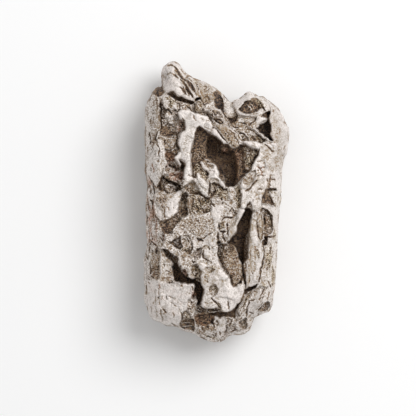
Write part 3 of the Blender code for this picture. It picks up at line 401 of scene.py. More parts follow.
    ledge("lobe's groove", 15.6, "brown", "0.15,-7.6 0.9,-8.4 1.4,-8.6 1.3,-10 1.2,-12 1.6,-13.4 "
          "2.4,-14.4 2.9,-15.6 3.1,-16.8 2.7,-16.2 2.3,-15.2 1.5,-14.2 1.1,-13.5 0.7,-12.6 0.3,-11.6 "
          "0.15,-10", wall=0.4, mixed="olive", share=0.6),
    ledge("oval lobe", 16.6, "slate", "1.3,-8.6 2.4,-8.3 3.6,-8.9 4,-9.8 4.3,-11 4.9,-12.2 5.1,-13.5 "
          "5.4,-15 4.9,-15.8 4.3,-16.3 3.3,-17 3,-16.2 2.7,-15 2.3,-14.3 1.8,-13.8 1.3,-13.2 1.1,-12 "
          "1,-10.5 1.1,-9.3", lean=(0, 0.04), wall=0.4, dome=0.6, curve=1.2, mixed="dusk", share=0.5),
    ledge("lobe's top", 16.4, "earth", "1.2,-8.5 2.4,-8.2 3.5,-8.9 3.4,-9.8 2.2,-10 1.3,-10.2", wall=0.6,
          mixed="brown", share=0.4, blur=0.7),
    # the lower left
    ledge("dark triangle", 15.9, "brown", "-9.4,-8.2 -8.6,-7.8 -7,-6.8 -7,-8 -6.6,-9.2 -7.4,-9.4 "
          "-8.3,-8.9 -8.8,-8.5", wall=0.4, mixed="dark", share=0.35),
    ledge("ribbed fan", 17.4, "grey", "-7,-6.8 -5.6,-6.7 -5,-7.6 -4.8,-8.5 -5,-9.6 -5.4,-10.2 -6.5,-9.6 "
          "-6.8,-8.3", wall=0.35, dome=0.2, mixed="pale", share=0.4),
    ledge("fan's foot", 16.8, "olive", "-6.6,-9.2 -5.4,-9.2 -4.9,-9.6 -5.1,-10.4 -6,-10.3 -6.8,-9.8",
          wall=0.6, mixed="brown", share=0.5, blur=0.6),
    ledge("brown notch", 16.9, "brown", "-4.9,-10.4 -4,-9.5 -3.4,-9 -3.1,-9.5 -3.2,-10.8 -3.8,-11.4 "
          "-4.6,-11.2", wall=0.4, mixed="pale", share=0.5),
    ledge("pale hook", 18.3, "bright", "-2.8,-9.3 -2,-9.5 -1.2,-9.2 -0.7,-10 -1,-11.2 -1.6,-11.6 "
          "-2.4,-11.2 -2.8,-10.4", wall=0.35, dome=0.2, mixed="smudge", share=0.4),
    ledge("olive hollow", 16.4, "olive", "-5.2,-14.4 -4.9,-12.6 -4,-12.4 -3.2,-13 -3,-14.2 -3.1,-15.3 "
          "-4,-15.3 -5,-14.9", wall=0.5, mixed="pale", share=0.2, blur=0.5),
    ledge("grain strip", 16.8, "cream", "-11.3,-9.4 -10.6,-9.4 -9.6,-10.8 -8.6,-12 -8.7,-14 -8.8,-16 "
          "-11.2,-16.2 -11.6,-15 -11.2,-13", wall=0.5, dome=0.1, mixed="dusk", share=0.3),
    ledge("grain strip's lump", 17, "dusk", "-9.5,-11.6 -8.8,-11.9 -8.6,-12.6 -9.2,-13 -9.6,-12.4",
          wall=0.4, dome=0.3, mixed="rust", share=0.4),
    ledge("grain strip's rust", 16.4, "rust", "-9.7,-14.5 -8.8,-14.4 -8.7,-15.2 -9.5,-15.3", wall=0.4,
          mixed="pale", share=0.4),
    ledge("bright rib", 17.1, "bright", "-11.5,-9.2 -11.1,-9.4 -10.9,-11 -10.8,-13 -10.9,-14.4 "
          "-11.4,-15.8 -11.9,-16 -11.4,-14.8 -11.15,-13.4 -11.3,-11", wall=0.35, dome=0.2, curve=0.3),
    ledge("diagonal bar", 18, "pale", "-9.9,-9.6 -9.4,-9 -9,-8.5 -8.4,-8.9 -7.6,-9.4 -7.1,-9.9 -6,-10.4 "
          "-5.2,-10.7 -4.9,-11.2 -4.7,-12.2 -5,-13.3 -5,-13.8 -5.6,-14.2 -6.3,-13.5 -7,-13.6 -7.5,-12.7 "
          "-7.7,-11.4 -7.8,-10.9 -8.4,-10.7 -9.2,-10.2", lean=(0, -0.04), wall=0.35, dome=0.3, curve=0.8,
          mixed="grey", share=0.35),
    ledge("brown arm", 13.4, "brown", "-10.8,-9.4 -10.1,-9.5 -9.3,-10.1 -8.5,-10.7 -7.9,-11 -7.6,-11.8 "
          "-7.7,-12.8 -8.6,-12.4 -9,-11.6 -9.7,-11 -10.2,-10.8 -10.3,-10.2", wall=0.5, mixed="dark",
          share=0.4),
    ledge("boomerang", 12.4, "black", "-8.4,-12.2 -7.8,-12.3 -7.4,-13.1 -7,-13.7 -6.4,-14.4 -5.8,-15 "
          "-5,-15.3 -4,-15.2 -3.3,-15.6 -3.2,-16.2 -2.9,-17 -2.7,-17.8 -2.9,-18.8 -3.2,-20 -3.6,-20.7 "
          "-4,-20.6 -4,-19.6 -4.3,-18.8 -4.5,-18 -4.4,-17 -4.4,-16.2 -5.4,-16.2 -6.6,-16.2 -7.6,-16 "
          "-8.5,-15.9 -8.6,-14.6 -8.7,-13.4 -9,-12.9", wall=0.8, mixed="deep", share=0.4),
    ledge("boomerang's brown edge", 14.6, "rust", "-6.4,-13.4 -5.8,-14.2 -5.6,-14.8 -6.2,-14.8 -7,-13.9 "
          "-7,-13.6", wall=0.5, mixed="olive", share=0.5),
    ledge("channel's brown edge", 15, "brown", "-4.4,-15 -3.3,-15.3 -3.2,-16 -3.6,-16.2 -4.2,-15.6",
          wall=0.5, mixed="olive", share=0.3),
    ledge("channel's rust", 14.2, "rust", "-4.9,-18.4 -4.3,-17.9 -4,-18.6 -4.6,-19.4 -5,-19.2", wall=0.5),
    ledge("channel's knob", 15.8, "pale", "-4.6,-20 -4.2,-19.3 -3.7,-19.5 -3.8,-20.2 -4.3,-20.5",
          wall=0.4, dome=0.4),
    ledge("dusky hollow", 15.4, "dusk", "-12.9,-10 -12.2,-9.8 -11.4,-9.6 -11.25,-11 -11.2,-13 "
          "-11.2,-14.6 -11.8,-15.3 -12.6,-15.2 -13.2,-14.4 -13.4,-13 -13.2,-11.4", wall=0.9, streak=0.5,
          mixed="slate", share=0.4, blur=1.1),
    # the foot block's white finish is painted light on a left side that slopes away from the light
    ledge("foot block", 17.1, "white", "-14.3,-16 -12.5,-15.5 -11,-15.8 -10,-16.2 -8.7,-16.05 -7.3,-16.2 "
          "-6,-16.35 -4.5,-16.2 -4.7,-17.2 -5,-18.1 -5.1,-18.9 -5.3,-19.8 -5.3,-20.6 -5.4,-21.5 "
          "-6.2,-21.7 -6.9,-22.2 -7.1,-23.2 -7.3,-23.9 -7.8,-24.6 -8,-26 -12,-26 -14.5,-23",
          lean=(0.05, 0.2), wall=0.4, dome=0.1, streak=0.8, turn=82, mixed="bright", share=0.3),
    ledge("foot block's right edge", 15.9, "cream", "-5.6,-19.4 -5,-19.6 -4.6,-20.4 -4.3,-21.2 -4.4,-22 "
          "-5,-22.9 -5.6,-22.4 -6,-21.6", wall=0.5, mixed="brown", share=0.35),
    ledge("pink smear", 16.6, "smudge", "-10.9,-20.5 -10.1,-20.9 -9.8,-22 -9.7,-23.4 -10.2,-24.3 "
          "-10.9,-23.8 -11.1,-22.4", lean=(0, 0.3), wall=0.9, mixed="dusk", share=0.35, blur=0.9),
    # the foot
    ledge("foot skirt", 15, "pale", "-5,-21.8 3,-22.6 7.4,-22.8 7.6,-28 0,-29 -5,-27", lean=(0, 0.35),
          wall=0.7, mixed="brown", share=0.35),
    ledge("foot knob", 15.6, "grey", "-6.7,-22 -6.2,-21.7 -5.6,-22.4 -5.2,-22.9 -5.6,-23.3 -6.6,-23.4 "
          "-6.8,-22.8", wall=0.35, dome=0.5, mixed="olive", share=0.3),
    ledge("ribbed hollow", 12.6, "earth", "-7.7,-24.6 -7.1,-24 -6.5,-23.5 -5.5,-23.3 -4.6,-23.2 -4.4,-24 "
          "-4.5,-25 -4.5,-25.9 -5.2,-25.7 -5.9,-25.5 -6.8,-25.5", wall=0.5, mixed="dusk", share=0.35),
    ledge("brown skirt", 14.2, "wine", "-4.3,-22.5 -2.4,-22.3 -0.7,-22.6 -0.5,-23.6 -1,-24.6 -2.4,-24.8 "
          "-3.6,-24.4 -4.3,-24", lean=(0, 0.2), wall=0.5, dome=0.2, mixed="deep", share=0.4),
    ledge("skirt's crumbs", 15, "pale", "-3.6,-24.7 -2.4,-24.9 -1.4,-24.2 -0.4,-24.8 -0.4,-26 -1.4,-26.6 "
          "-2.8,-26.4 -3.8,-25.8", lean=(0, 0.25), wall=0.5, mixed="dark", share=0.42),
    ledge("skirt's white lump", 15.6, "bright", "-0.5,-22.9 0.2,-22.8 0.6,-23.2 1.2,-22.9 1.7,-23 "
          "1.8,-23.8 1.5,-24.8 1.5,-26 0.9,-26.6 0.1,-26 -0.2,-25.2 0.3,-24.4 -0.1,-23.8", lean=(0, 0.25),
          wall=0.4, dome=0.3, mixed="smudge", share=0.3),
    ledge("foot ridge", 18.4, "bright", "-4.4,-11.9 -3.2,-12 -2,-12.4 -1,-12.9 0.3,-13 1.1,-13.6 2,-14.4 "
          "2.5,-15 2.8,-16 3.2,-17.1 4.2,-16.7 4.9,-16 5.5,-16.8 5.5,-17.8 5.3,-18.6 5,-19.4 4.2,-20.2 "
          "3.5,-20.9 2.8,-21.6 1.8,-22 0.9,-21.9 0.6,-21.2 0.2,-20.9 -1,-21.1 -2.4,-21.2 -3.2,-20.7 "
          "-3.1,-19.7 -2.7,-18.6 -2.6,-17.6 -2.9,-16.7 -3.2,-15.8 -3.1,-14.6 -3,-13.6", lean=(0, 0.05),
          wall=0.4, dome=0.4, curve=0.7, mixed="smudge", share=0.4),
    ledge("ridge's crumbs", 17.9, "olive", "-2.4,-13.1 -1.6,-12.9 -0.7,-13 -0.7,-13.9 -1.6,-14.2 "
          "-2.3,-13.9", wall=0.5, mixed="cream", share=0.5),
    ledge("diamond pit", 17, "olive", "-1.6,-17.3 -1,-16.6 -0.3,-16.3 0.1,-16.9 0.3,-17.7 -0.2,-18.4 "
          "-0.8,-18.8 -1.4,-18.3", wall=0.4, mixed="brown", share=0.4),
    ledge("brown band", 14.9, "brown", "-4,-20.8 -3.3,-20.8 -2.4,-21.3 -1,-21.1 0.5,-21 0.9,-21.9 "
          "-1,-22.1 -2.6,-21.8 -4.2,-22", wall=0.4, streak=0.6, turn=-12, mixed="olive", share=0.3),
    ledge("foot crack", 13.4, "black", "-1.6,-22.1 0,-22.1 1.8,-22.1 2.8,-21.8 3.4,-21.3 4.1,-20.6 "
          "4.7,-20 4.3,-20.8 3.9,-21.6 3.7,-22.4 3.3,-23.3 3.1,-22.8 1,-22.8 0.6,-23.1 0.3,-22.8 "
          "-0.8,-22.6 -1.6,-22.5", wall=0.4),
    ledge("foot lamellae", 15.6, "pale", "5.4,-19 6.4,-18 8.2,-16.9 9.4,-16.8 10.6,-17 11.2,-19.6 11,-21 "
          "10,-19.9 8.9,-20.6 8,-21.9 7.2,-23 7.2,-25 5.8,-24.8 5.6,-23.4 4.8,-22.6 4,-21.8 4,-21 "
          "5,-19.8", lean=(-0.05, 0.25), wall=0.5, streak=0.8, turn=58, mixed="grey", share=0.35),
    ledge("lamella 1", 16.1, "cream", "4.1,-21.6 4.6,-20.6 5.2,-19.6 5.6,-18.8 6.4,-18.2 6.3,-19.4 "
          "5.8,-20.6 5.6,-22 5.4,-23.6 4.4,-22.6", lean=(0, 0.25), wall=0.4, dome=0.2, mixed="olive",
          share=0.3, streak=0.7, turn=62),
    ledge("lamella 2", 15.9, "cream", "6.4,-19.8 7.4,-19.2 8.6,-17 9.2,-18.2 8.7,-19.6 8.6,-20.6 "
          "7.8,-21.8 6.8,-22.4 6,-22.8 6,-21.6 6.2,-20.8", lean=(0, 0.25), wall=0.4, dome=0.2,
          mixed="bright", share=0.5, streak=0.7, turn=58),
    ledge("lamella 3", 16, "cream", "8.8,-20.2 9.2,-18.8 9.8,-17.2 10.6,-16.6 11.2,-17.6 10.6,-19.4 "
          "10,-20", lean=(-0.1, 0.2), wall=0.4, dome=0.2, streak=0.7, turn=72, mixed="bright", share=0.5),
    ledge("black wedge", 14.6, "black", "8,-16.2 7.6,-17 7,-17.5 6,-17.9 5.5,-18.4 5.4,-17.8 5.8,-17.3 "
          "6.6,-17 7.4,-16.6", wall=0.35),
    ledge("right foot cavity", 11.6, "brown", "8,-21.9 8.3,-21.2 8.9,-20.6 9.5,-20.2 10,-19.9 10.6,-20.2 "
          "10.5,-20.8 10.1,-21.4 9.8,-21.7 9.1,-21.9", wall=0.5, mixed="dusk", share=0.5),
    ledge("small foot hollow", 12.8, "brown", "4.2,-24.6 4.5,-23.9 5.2,-23.4 5.9,-23.2 5.8,-24 6,-24.8 "
          "5.6,-25.4 5.1,-25.5 4.6,-25", wall=0.5, mixed="olive", share=0.4),
    ledge("hollow's centre", 13.8, "olive", "4.8,-24.4 5.1,-23.9 5.4,-24 5.3,-24.6 5,-24.8", wall=0.4,
          dome=0.2, mixed="pale", share=0.4),
    ledge("gap under the peak", 12, "gap", "-4.4,20 -4.3,20.3 -3.9,20.6 -3.4,20.55 -3.2,20.3 -3.6,20.15 "
          "-4.1,20", wall=0.3),
    ledge("peak cleft", 11.4, "black", "-10.3,21.7 -9.3,21.45 -8.9,21.7 -8.4,21.35 -7.8,20.9 -7.4,20.65 "
          "-6.9,20.65 -6.4,20.5 -5.9,20.15 -5.2,19.85 -4.6,19.75 -5,19.2 -5.6,19.4 -6.2,19.65 -7,19.85 "
          "-7.5,19.8 -8.1,20.1 -8.7,20.6 -9.3,20.95 -10,21.35", wall=0.3, mixed="dark", share=0.2),
]

# cracks and grooves (negative heights), thin ridges (positive) and specks:
# finish, width, height and route
# the dark finishes in the cracks are partly painted shade, on top of the shade their grooves cast
stone["lines"] = readStrokes([
    # the foot block's strokes
    "smudge 0.16 -0.12 -13.5,-16.6 -13.4,-18.2 -13.3,-19.8",
    "smudge 0.16 -0.12 -12.3,-17.4 -12.2,-19 -12.3,-20.6",
    "smudge 0.16 -0.12 -13.3,-20.2 -13,-21.6 -12.7,-22.9",
    "smudge 0.16 -0.12 -12.2,-20.8 -12,-22 -11.8,-23.4",
    "slate 0.2 -0.18 -11.6,-17.2 -11.4,-18.8 -11.4,-20.4",
    "dusk 0.18 -0.2 -10,-18.7 -10,-19.5",
    "dusk 0.18 -0.2 -10.9,-18.7 -10.9,-19.5",
    "slate 0.2 -0.2 -11.3,-21.2 -11.1,-22.6 -10.8,-24",
    "slate 0.22 -0.2 -8.7,-21.8 -8.5,-22.4 -8.4,-23",
    "slate 0.22 -0.2 -7.5,-21.2 -7.3,-21.8 -7.2,-22.2",
    "gap 0.28 -0.5 -9,-24.2 -8.6,-24.5 -8.1,-24.85",
    # the left flank
    "gap 0.26 -0.5 -13.4,3.2 -13.2,2.4 -13.1,1.6",
    "gap 0.26 -0.5 -12.6,3 -12.4,2.2 -12.3,1.4",
    "umber 0.32 -0.5 -13.2,0.3 -12.9,0 -12.6,-0.6",
    "wine 0.28 -0.3 -14,1.4 -13.9,0.4 -13.8,-0.8 -13.7,-1.6",
    "wine 0.26 -0.3 -12.8,-1.4 -12.7,-2.4 -12.6,-3.2",
    "umber 0.26 -0.4 -14,-2.6 -13.8,-3.6 -13.9,-4.6",
    "umber 0.26 -0.4 -14.2,-16.6 -14,-17.6 -14,-18.8",
    # the slot's lower end
    "gap 0.5 -0.9 5,-12 5.2,-13 5.4,-14 5.5,-15 5.6,-16.4",
    "dusk 0.3 -0.4 5.6,-11.8 5.7,-12.8 5.8,-13.8",
    # the upper side cavity
    "gap 0.28 -0.5 10.4,4.5 11,4.35 11.5,4.4",
    "dusk 0.34 -0.3 10.8,5.4 10.7,4.8 10.4,4.2 10.3,3.4 10.2,2.8",
    # the peak
    "gap 0.32 -0.6 -9.8,27.1 -9.3,27.3 -8.8,27.1",
    "gap 0.4 -0.7 -8.6,27 -8.2,26.5 -7.9,26 -7.5,25.3 -7,24.8 -6.4,24.2",
    "gap 0.26 -0.5 -6.4,24.2 -5.8,23.6 -5.3,23 -4.8,22.3 -4.2,21.5",
    "gap 0.28 -0.4 -9.9,25.5 -9.4,25.7 -8.8,25.4 -8.2,24.9 -7.7,24.4",
    "bright 0.22 0.3 -10,25.15 -9.3,25.15 -8.5,24.8 -7.8,24.3 -7.2,23.8 -6.6,22.8 -6.1,21.6",
    "gap 0.36 -0.6 -7.2,24.3 -6.8,23.8 -6.3,23.1 -5.8,22.3 -5.3,21.4 -4.8,20.6",
    "bright 0.2 0.25 -6.6,24 -6,23.2 -5.4,22.3 -4.8,21.3 -4.4,20.5",
    "gap 0.26 -0.5 -7.4,22.8 -7,22.4 -6.6,21.9 -6.3,21.3",
    "deep 0.24 -0.4 -6.8,22.8 -6.4,22 -6.1,21.2",
    "deep 0.22 -0.4 -6.2,22.6 -5.7,21.6 -5.5,20.8",
    "gap 0.24 -0.4 -6.1,24.3 -5.3,23.4 -4.7,22.5 -4.3,21.8 -4.1,21.1",
    "bright 0.2 0.25 -5.9,24.5 -5,23.6 -4.4,22.7 -3.9,21.9",
    # painted shade along the peak's upper edge
    "dusk 0.3 -0.2 -7.3,26.5 -6.8,25.9 -6.4,25.4",
    "dusk 0.26 -0.3 -6.4,25.6 -5.9,25 -5.3,24.3 -4.9,23.8",
    "olive 0.26 -0.3 -4.6,24.4 -4.2,23.8 -3.9,23.2",
    "brown 0.3 -0.4 -4.1,23.2 -3.8,22.7 -3.7,22.3",
    "gap 0.26 -0.3 -2.6,23.1 -2.2,22.9 -2,22.7",
    "bright 0.22 0.2 -3.4,22.6 -3.6,21.8 -3.2,21.2",
    "black 0.36 -0.6 -4.3,20.1 -3.8,20.35 -3.3,20.5",
    "gap 0.25 -0.4 -2.7,19.35 -2.3,19.2 -1.8,19.4",
    "gap 0.18 -0.3 -7,27.3 -6.7,26.6 -6.4,26",
    "gap 0.22 -0.4 0,22.2 0.5,21.7 0.9,21",
    "gap 0.2 -0.3 -0.4,20.3 0.3,20 1,20.1",
    "gap 0.28 -0.4 -0.5,19.2 0.2,18.9 1.1,19",
    "grey 0.22 -0.2 1.6,19.8 2.2,19.4 2.8,19",
    "gap 0.22 -0.4 3,19.8 3.2,19.5",
    "gap 0.24 -0.5 0.8,18 1.3,17.5 1.9,16.6 2.3,15.8",
    "olive 0.2 -0.2 1.8,21.2 2.3,20.4 2.8,19.8",
    "gap 0.22 -0.4 -3.3,20.2 -2.9,19.8 -2.5,19.2 -2.3,18.7",
    "gap 0.26 -0.5 -0.3,16.2 0.1,15.8 0.5,15.55 1.1,15.6",
    "gap 0.22 -0.4 1.6,17 1.2,17.6 0.9,18.1",
    "gap 0.2 -0.4 -1.2,15.6 -1,15.2 -0.6,15.4",
    "gap 0.2 -0.4 0.4,-4.4 0.35,-4.9 0.6,-5.5",
    "gap 0.2 -0.4 1.9,-4.4 2.1,-5 2.2,-5.8 2.2,-6.6",
    "black 0.24 -0.4 10.2,2.4 10.9,2.35 11.7,2.35",
    "gap 0.24 -0.4 9.4,-6.7 10.2,-6.95 11.2,-6.9",
    "gap 0.2 -0.4 -4.6,19.4 -4.4,18.6 -4.4,18",
    "olive 0.24 -0.2 -3.4,19.6 -3.2,18.8 -3.3,18.2",
    # the left shelf and strip
    "black 0.3 -1.2 -11.15,19.7 -11.1,18.4 -11.15,17.2 -11.2,16.2 -11.1,15.2 -11.15,14.4 -11.5,13.9",
    "black 0.2 -0.6 -11.5,13.9 -11.9,13.3 -12,12.7 -12.05,12.1",
    "gap 0.22 -0.4 -12,12.1 -11.9,11.4 -11.6,10.8",
    "gap 0.22 -0.5 -10.4,18 -9.6,18 -9.2,17.8 -8.9,17.5",
    "bright 0.18 0.2 -8.8,19 -8.3,18.6 -7.9,18",
    "gap 0.22 -0.4 -6.1,18.8 -5.5,18.4 -5,17.9",
    "brown 0.25 -0.3 -7.8,19.3 -7.3,18.9 -6.8,19",
    "gap 0.3 -0.5 -11,16.5 -10.6,16.2 -10.2,16.3",
    "gap 0.25 -0.4 -10.8,15.8 -10.5,15.4",
    "gap 0.22 -0.4 -9.9,13 -9,13.1 -8.4,13.4",
    "gap 0.24 -0.5 -8.1,13.4 -7.9,12.6 -8,11.8 -7.9,10.9 -7.6,10.2",
    "gap 0.25 -0.4 -10.4,12.2 -10.2,11.4 -10.3,11.1",
    "grey 0.3 -0.3 -9.6,12.2 -9.2,11.6 -9.5,11",
    "gap 0.25 -0.4 -8.9,10.5 -8.5,10.8 -8.2,11.4",
    "bright 0.25 0.3 -9,10.6 -8.6,11",
    "gap 0.2 -0.4 -11.4,10.6 -11.5,9.6 -11.45,8.7",
    "brown 0.18 -0.3 -11.6,8.4 -11.6,7.7",
    "gap 0.2 -0.4 -13.6,5 -13,4 -12.5,3.2 -12,2.5 -11.4,3.2",
    "gap 0.3 -0.5 -13.2,13.7 -13.3,12.9 -13.2,12.3",
    "gap 0.28 -0.4 -13.1,12 -13.2,11.3",
    "gap 0.2 -0.3 -13.1,16.3 -13.2,15.4",
    "brown 0.2 -0.3 -12.7,18.4 -12.6,17.5",
    "brown 0.2 -0.3 -12.4,16.9 -12.5,16",
    "brown 0.2 -0.3 -12.9,14.8 -12.8,14",
    "gap 0.2 -0.3 -13.7,8.9 -13.7,8.1",
    "brown 0.22 -0.3 -12.7,10.9 -12.6,10.1",
    "brown 0.22 -0.3 -12.1,10 -12.2,9.1",
    "rust 0.36 -0.2 -12.8,7.5 -12.7,6.6 -12.6,5.8",
    "brown 0.24 -0.2 -13.2,6.9 -13.1,6",
    # the white ridge
    "gap 0.26 -0.4 -7,16.4 -6.7,16.2 -6.5,15.9",
    "rust 0.28 -0.2 -7.3,15.9 -6.9,15.7 -6.6,15.2",
    "dusk 0.28 -0.25 -4.7,17 -4.5,16.5 -4.3,16",
    "grey 0.25 -0.15 -3.2,16.4 -2.8,16 -2.5,16.3",
    "grey 0.25 -0.15 -2.2,15.8 -1.7,16 -1.5,15.8",
    "grey 0.3 -0.2 -2.4,14.6 -1.7,14.3 -1.3,14.1",
    "brown 0.24 -0.2 -5.6,5.2 -5.2,5.05 -4.8,5.1",
    "black 0.4 -1.6 -7.3,8 -6.8,7.6 -6.6,6.9 -6.7,6.1",
    "rust 0.4 -0.8 -6.8,6 -7,5.2 -7.1,4.5",
    "bright 0.22 0.4 -8,8.4 -7.6,7.9 -7.3,7.4 -7.15,6.9",
    "gap 0.3 -0.5 -9.4,7.2 -8.8,6.9 -8.3,6.5 -7.7,6.4",
    "rust 0.3 -0.4 -8.8,5.5 -8.4,5.1 -8,5.2",
    "bright 0.2 0.25 -8.1,5.9 -7.7,5.85 -7.4,5.9",
    "gap 0.3 -0.6 -10.7,4.9 -10.3,4.5 -9.4,4.1 -8.6,3.9 -7.8,3.5 -7.2,3",
    "black 0.34 -0.6 -11,4.7 -11.2,3.8 -11.4,3 -11.3,2.3 -11,1.9",
    "bright 0.26 0.4 -10.5,1.9 -10.2,1.7 -10.1,1.4",
    "gap 0.24 -0.4 -8,3 -7.5,2.5 -7.2,2.2",
    "brown 0.24 -0.3 -9.6,3.1 -9,2.6 -8.9,2.1",
    # the tongue and the left flank
    "gap 0.2 -0.4 -10.3,-1.7 -10.4,-2.4 -10.2,-3.1",
    "brown 0.3 -0.3 -11.4,0.6 -11,0 -10.8,-0.8 -10.5,-1.4",
    "brown 0.22 -0.25 -10.9,1.2 -10.6,0.5 -10.4,-0.2",
    "dusk 0.22 -0.2 -10,-1.1 -9.5,-1.3 -9.4,-1.8",
    "black 0.22 -0.5 -12.2,-2.8 -11.8,-3.4 -11.4,-3.9",
    "rust 0.3 -0.3 -13.8,0.9 -13.8,0 -13.75,-1.2",
    "gap 0.18 -0.3 -13.7,0.4 -13.65,-1.3",
    "gap 0.3 -0.4 -13,0.3 -12.8,-0.2 -12.6,-0.8",
    "rust 0.22 -0.3 -12.7,-1.3 -12.5,-2.2 -12.3,-2.9",
    "brown 0.22 -0.3 -13.3,2.4 -13.1,1.6 -13,1.1",
    "gap 0.2 -0.3 -12.4,2.2 -12.4,1.4",
    "rust 0.28 -0.25 -13.6,-3 -13.6,-3.9",
    "brown 0.2 -0.25 -13,-3.4 -13.1,-4.6",
    "brown 0.2 -0.25 -13.6,-5 -13.5,-6.4",
    "rust 0.22 -0.25 -13.1,-5.2 -13,-6.6 -12.9,-7.6",
    "grey 0.22 -0.2 -12.3,-4.6 -12.2,-5.4",
    "gap 0.2 -0.4 -13.1,-7.7 -12.6,-8.4 -12,-8.8 -11.5,-9.4",
    "bright 0.2 0.2 -12.8,-7.6 -12,-8.4 -11.3,-9.3",
    "grey 0.3 -0.25 -11.4,-6.9 -10.9,-7.5",
    # the fangs and the knobbly hollow
    "black 0.26 -0.7 -5.3,1.5 -4.4,1.5 -3.5,1.6 -2.9,1 -2.3,0.6 -1.8,0.4 -1.3,0.7 -0.9,1.3 -0.6,1.9",
    "gap 0.22 -0.5 -1.55,4 -1.5,3 -1.55,2 -1.6,1.2",
    "gap 0.26 -0.5 -1.2,3.4 -0.6,3.3 0.1,3.4 0.7,3 1.3,2.45 1.8,2.45",
    "gap 0.28 -0.5 -0.5,2.9 -0.3,2.2 -0.6,1.5",
    "bright 0.16 0.2 -0.2,3 -0.1,2.6",
    "gap 0.24 -0.4 -2,6 -1.9,5.5 -1.7,5.1",
    "gap 0.24 -0.4 -3.4,6.9 -3.3,6.3 -3,6.1",
    "gap 0.22 -0.4 -4.6,5.8 -4.2,6.4 -3.8,6.5",
    "gap 0.2 -0.3 -2.3,7.6 -1.9,7 -1.5,7.2 -1,6.8",
    "dusk 0.2 -0.2 -1.6,6.2 -1.4,6.5",
    "grey 0.18 -0.2 -0.9,6 -0.6,5.9",
    "gap 0.3 -0.6 -2.9,8.5 -2.6,8.1 -3.2,7.9 -3.6,7.6",
    "gap 0.2 -0.5 -4.9,6.2 -4.7,5.3 -4.6,4.5",
    "brown 0.22 -0.3 -1.1,4 -0.5,4 0.1,3.9",
    "black 0.24 -0.6 0.3,6.9 0.6,6.1 0.75,5.2",
    # the middle
    "gap 0.26 -0.5 -2.9,-1.4 -2.7,-2.2 -2,-2.2 -1.3,-1.9",
    "brown 0.24 -0.4 -1.25,0.2 -1.2,-0.8 -1.2,-1.8",
    "gap 0.28 -0.4 -3.7,0.4 -3.3,-0.2 -3.2,-0.9",
    "gap 0.26 -0.4 -4.8,0.6 -4.7,-0.3 -4.8,-1.2 -5,-1.7",
    "gap 0.26 -0.4 -4.2,-0.8 -3.7,-1.4 -3.6,-2.1",
    "cream 0.2 0.2 -4.3,0.6 -4,0.9",
    "cream 0.24 0.2 -5.7,0.6 -5.3,0.8",
    "gap 0.3 -0.4 -1.1,-0.5 -0.7,-0.8 -0.5,-1.1",
    "brown 0.24 -0.3 0.8,-0.6 1.3,-0.3 1.6,0.2",
    "gap 0.2 -0.3 0.9,0.6 1,0.1",
    "gap 0.24 -0.5 1,-3.8 1.4,-3.3 2.1,-3.25 2.7,-3.2 3.3,-3.15",
    "brown 0.22 -0.3 2.1,-2.4 2.6,-1.9 3,-1.4",
    "gap 0.26 -0.5 0.3,-4.1 0.3,-4.9 0,-5.2",
    "rust 0.22 -0.4 2,-4.2 2.1,-4.8 2,-5.5",
    "gap 0.22 -0.5 0.6,-5.8 1.2,-6 1.8,-5.9",
    "brown 0.3 -0.6 1.3,-6.2 1.2,-7 1.5,-7.8",
    "cream 0.22 0.2 1.7,-6.3 2,-7",
    "gap 0.22 -0.5 -0.9,-6.1 -1.4,-6.5 -2,-6.9 -2.6,-7.3",
    "gap 0.3 -0.5 -4,-7.3 -3.6,-7.7 -3.2,-7.5 -2.8,-7.8",
    "gap 0.24 -0.5 -9.6,-8 -9,-8.2 -8.4,-7.6 -7.6,-7.2 -7,-6.8",
    "gap 0.22 -0.4 -9.2,-8.4 -8.6,-8.6 -7.8,-9.1 -7.2,-9.4",
    "cream 0.22 0.2 -8.5,-8 -8,-8.2",
    "cream 0.2 0.3 -6.9,-6.9 -6.4,-7.1 -6,-7.7 -5.9,-8.2",
    "cream 0.2 0.3 -6.2,-6.9 -5.7,-7.2 -5.3,-7.8 -5.2,-8.3",
    "olive 0.18 -0.2 -6.6,-7.3 -6.3,-7.7 -6.2,-8.2",
    "olive 0.18 -0.2 -6.1,-7.2 -5.7,-7.7 -5.6,-8.2",
    "gap 0.24 -0.6 0.15,-6.2 0.15,-8 0.2,-9.8 0.3,-11 0.8,-12 1.2,-12.8",
    "brown 0.3 -0.6 1.2,-12.8 1.9,-13.9 2.5,-14.6 2.8,-15.4 3,-16.2 3.2,-16.9",
    "gap 0.24 -0.5 3.3,-17 3.9,-16.6 4.6,-16 4.9,-15.5",
    "brown 0.3 -0.5 0.6,-8.4 0.6,-9.6 0.8,-10.6",
    "cream 0.2 0.3 0.9,-8.8 0.7,-9.4 0.9,-10",
    "olive 0.3 -0.3 -3.1,-9.1 -2.6,-8.8 -2.1,-8.8 -1.7,-9 -1.5,-9.5",
    "gap 0.22 -0.4 -2.85,-9.6 -2.85,-10.6 -2.6,-11.2 -2.2,-11.5 -1.6,-11.8 -1.2,-12",
    "gap 0.2 -0.3 -4,-9.8 -3.6,-9.3 -3.5,-9.9",
    "gap 0.24 -0.3 -4.9,-11.6 -4.6,-12.2 -4.4,-12",
    "gap 0.22 -0.4 -5.1,-8.3 -4.9,-9 -5,-9.7",
    "grey 0.2 -0.15 -0.8,-7.2 -0.8,-8.2",
    # between the peak and the crown
    # round the oval shell: a bright arc on its upper rim, painted highlight, and dark grooves below and
    # at its right, partly painted shadow
    "gap 0.24 -0.5 -0.6,16.3 0,15.8 0.5,15.45 1,15.5",
    "gap 0.34 -0.6 -2,17.2 -1.6,16.6 -1.2,16 -0.9,15.6",
    "bright 0.26 0.3 -1.5,18.2 -0.7,18.6 0.2,18.4 0.9,17.8 1.4,16.9 1.5,16",
    "gap 0.26 -0.5 0.3,18.7 1,18.2 1.5,17.4 1.8,16.6",
    "gap 0.3 -0.5 -0.6,16.3 0.1,16.2 0.6,15.9 1,15.7",
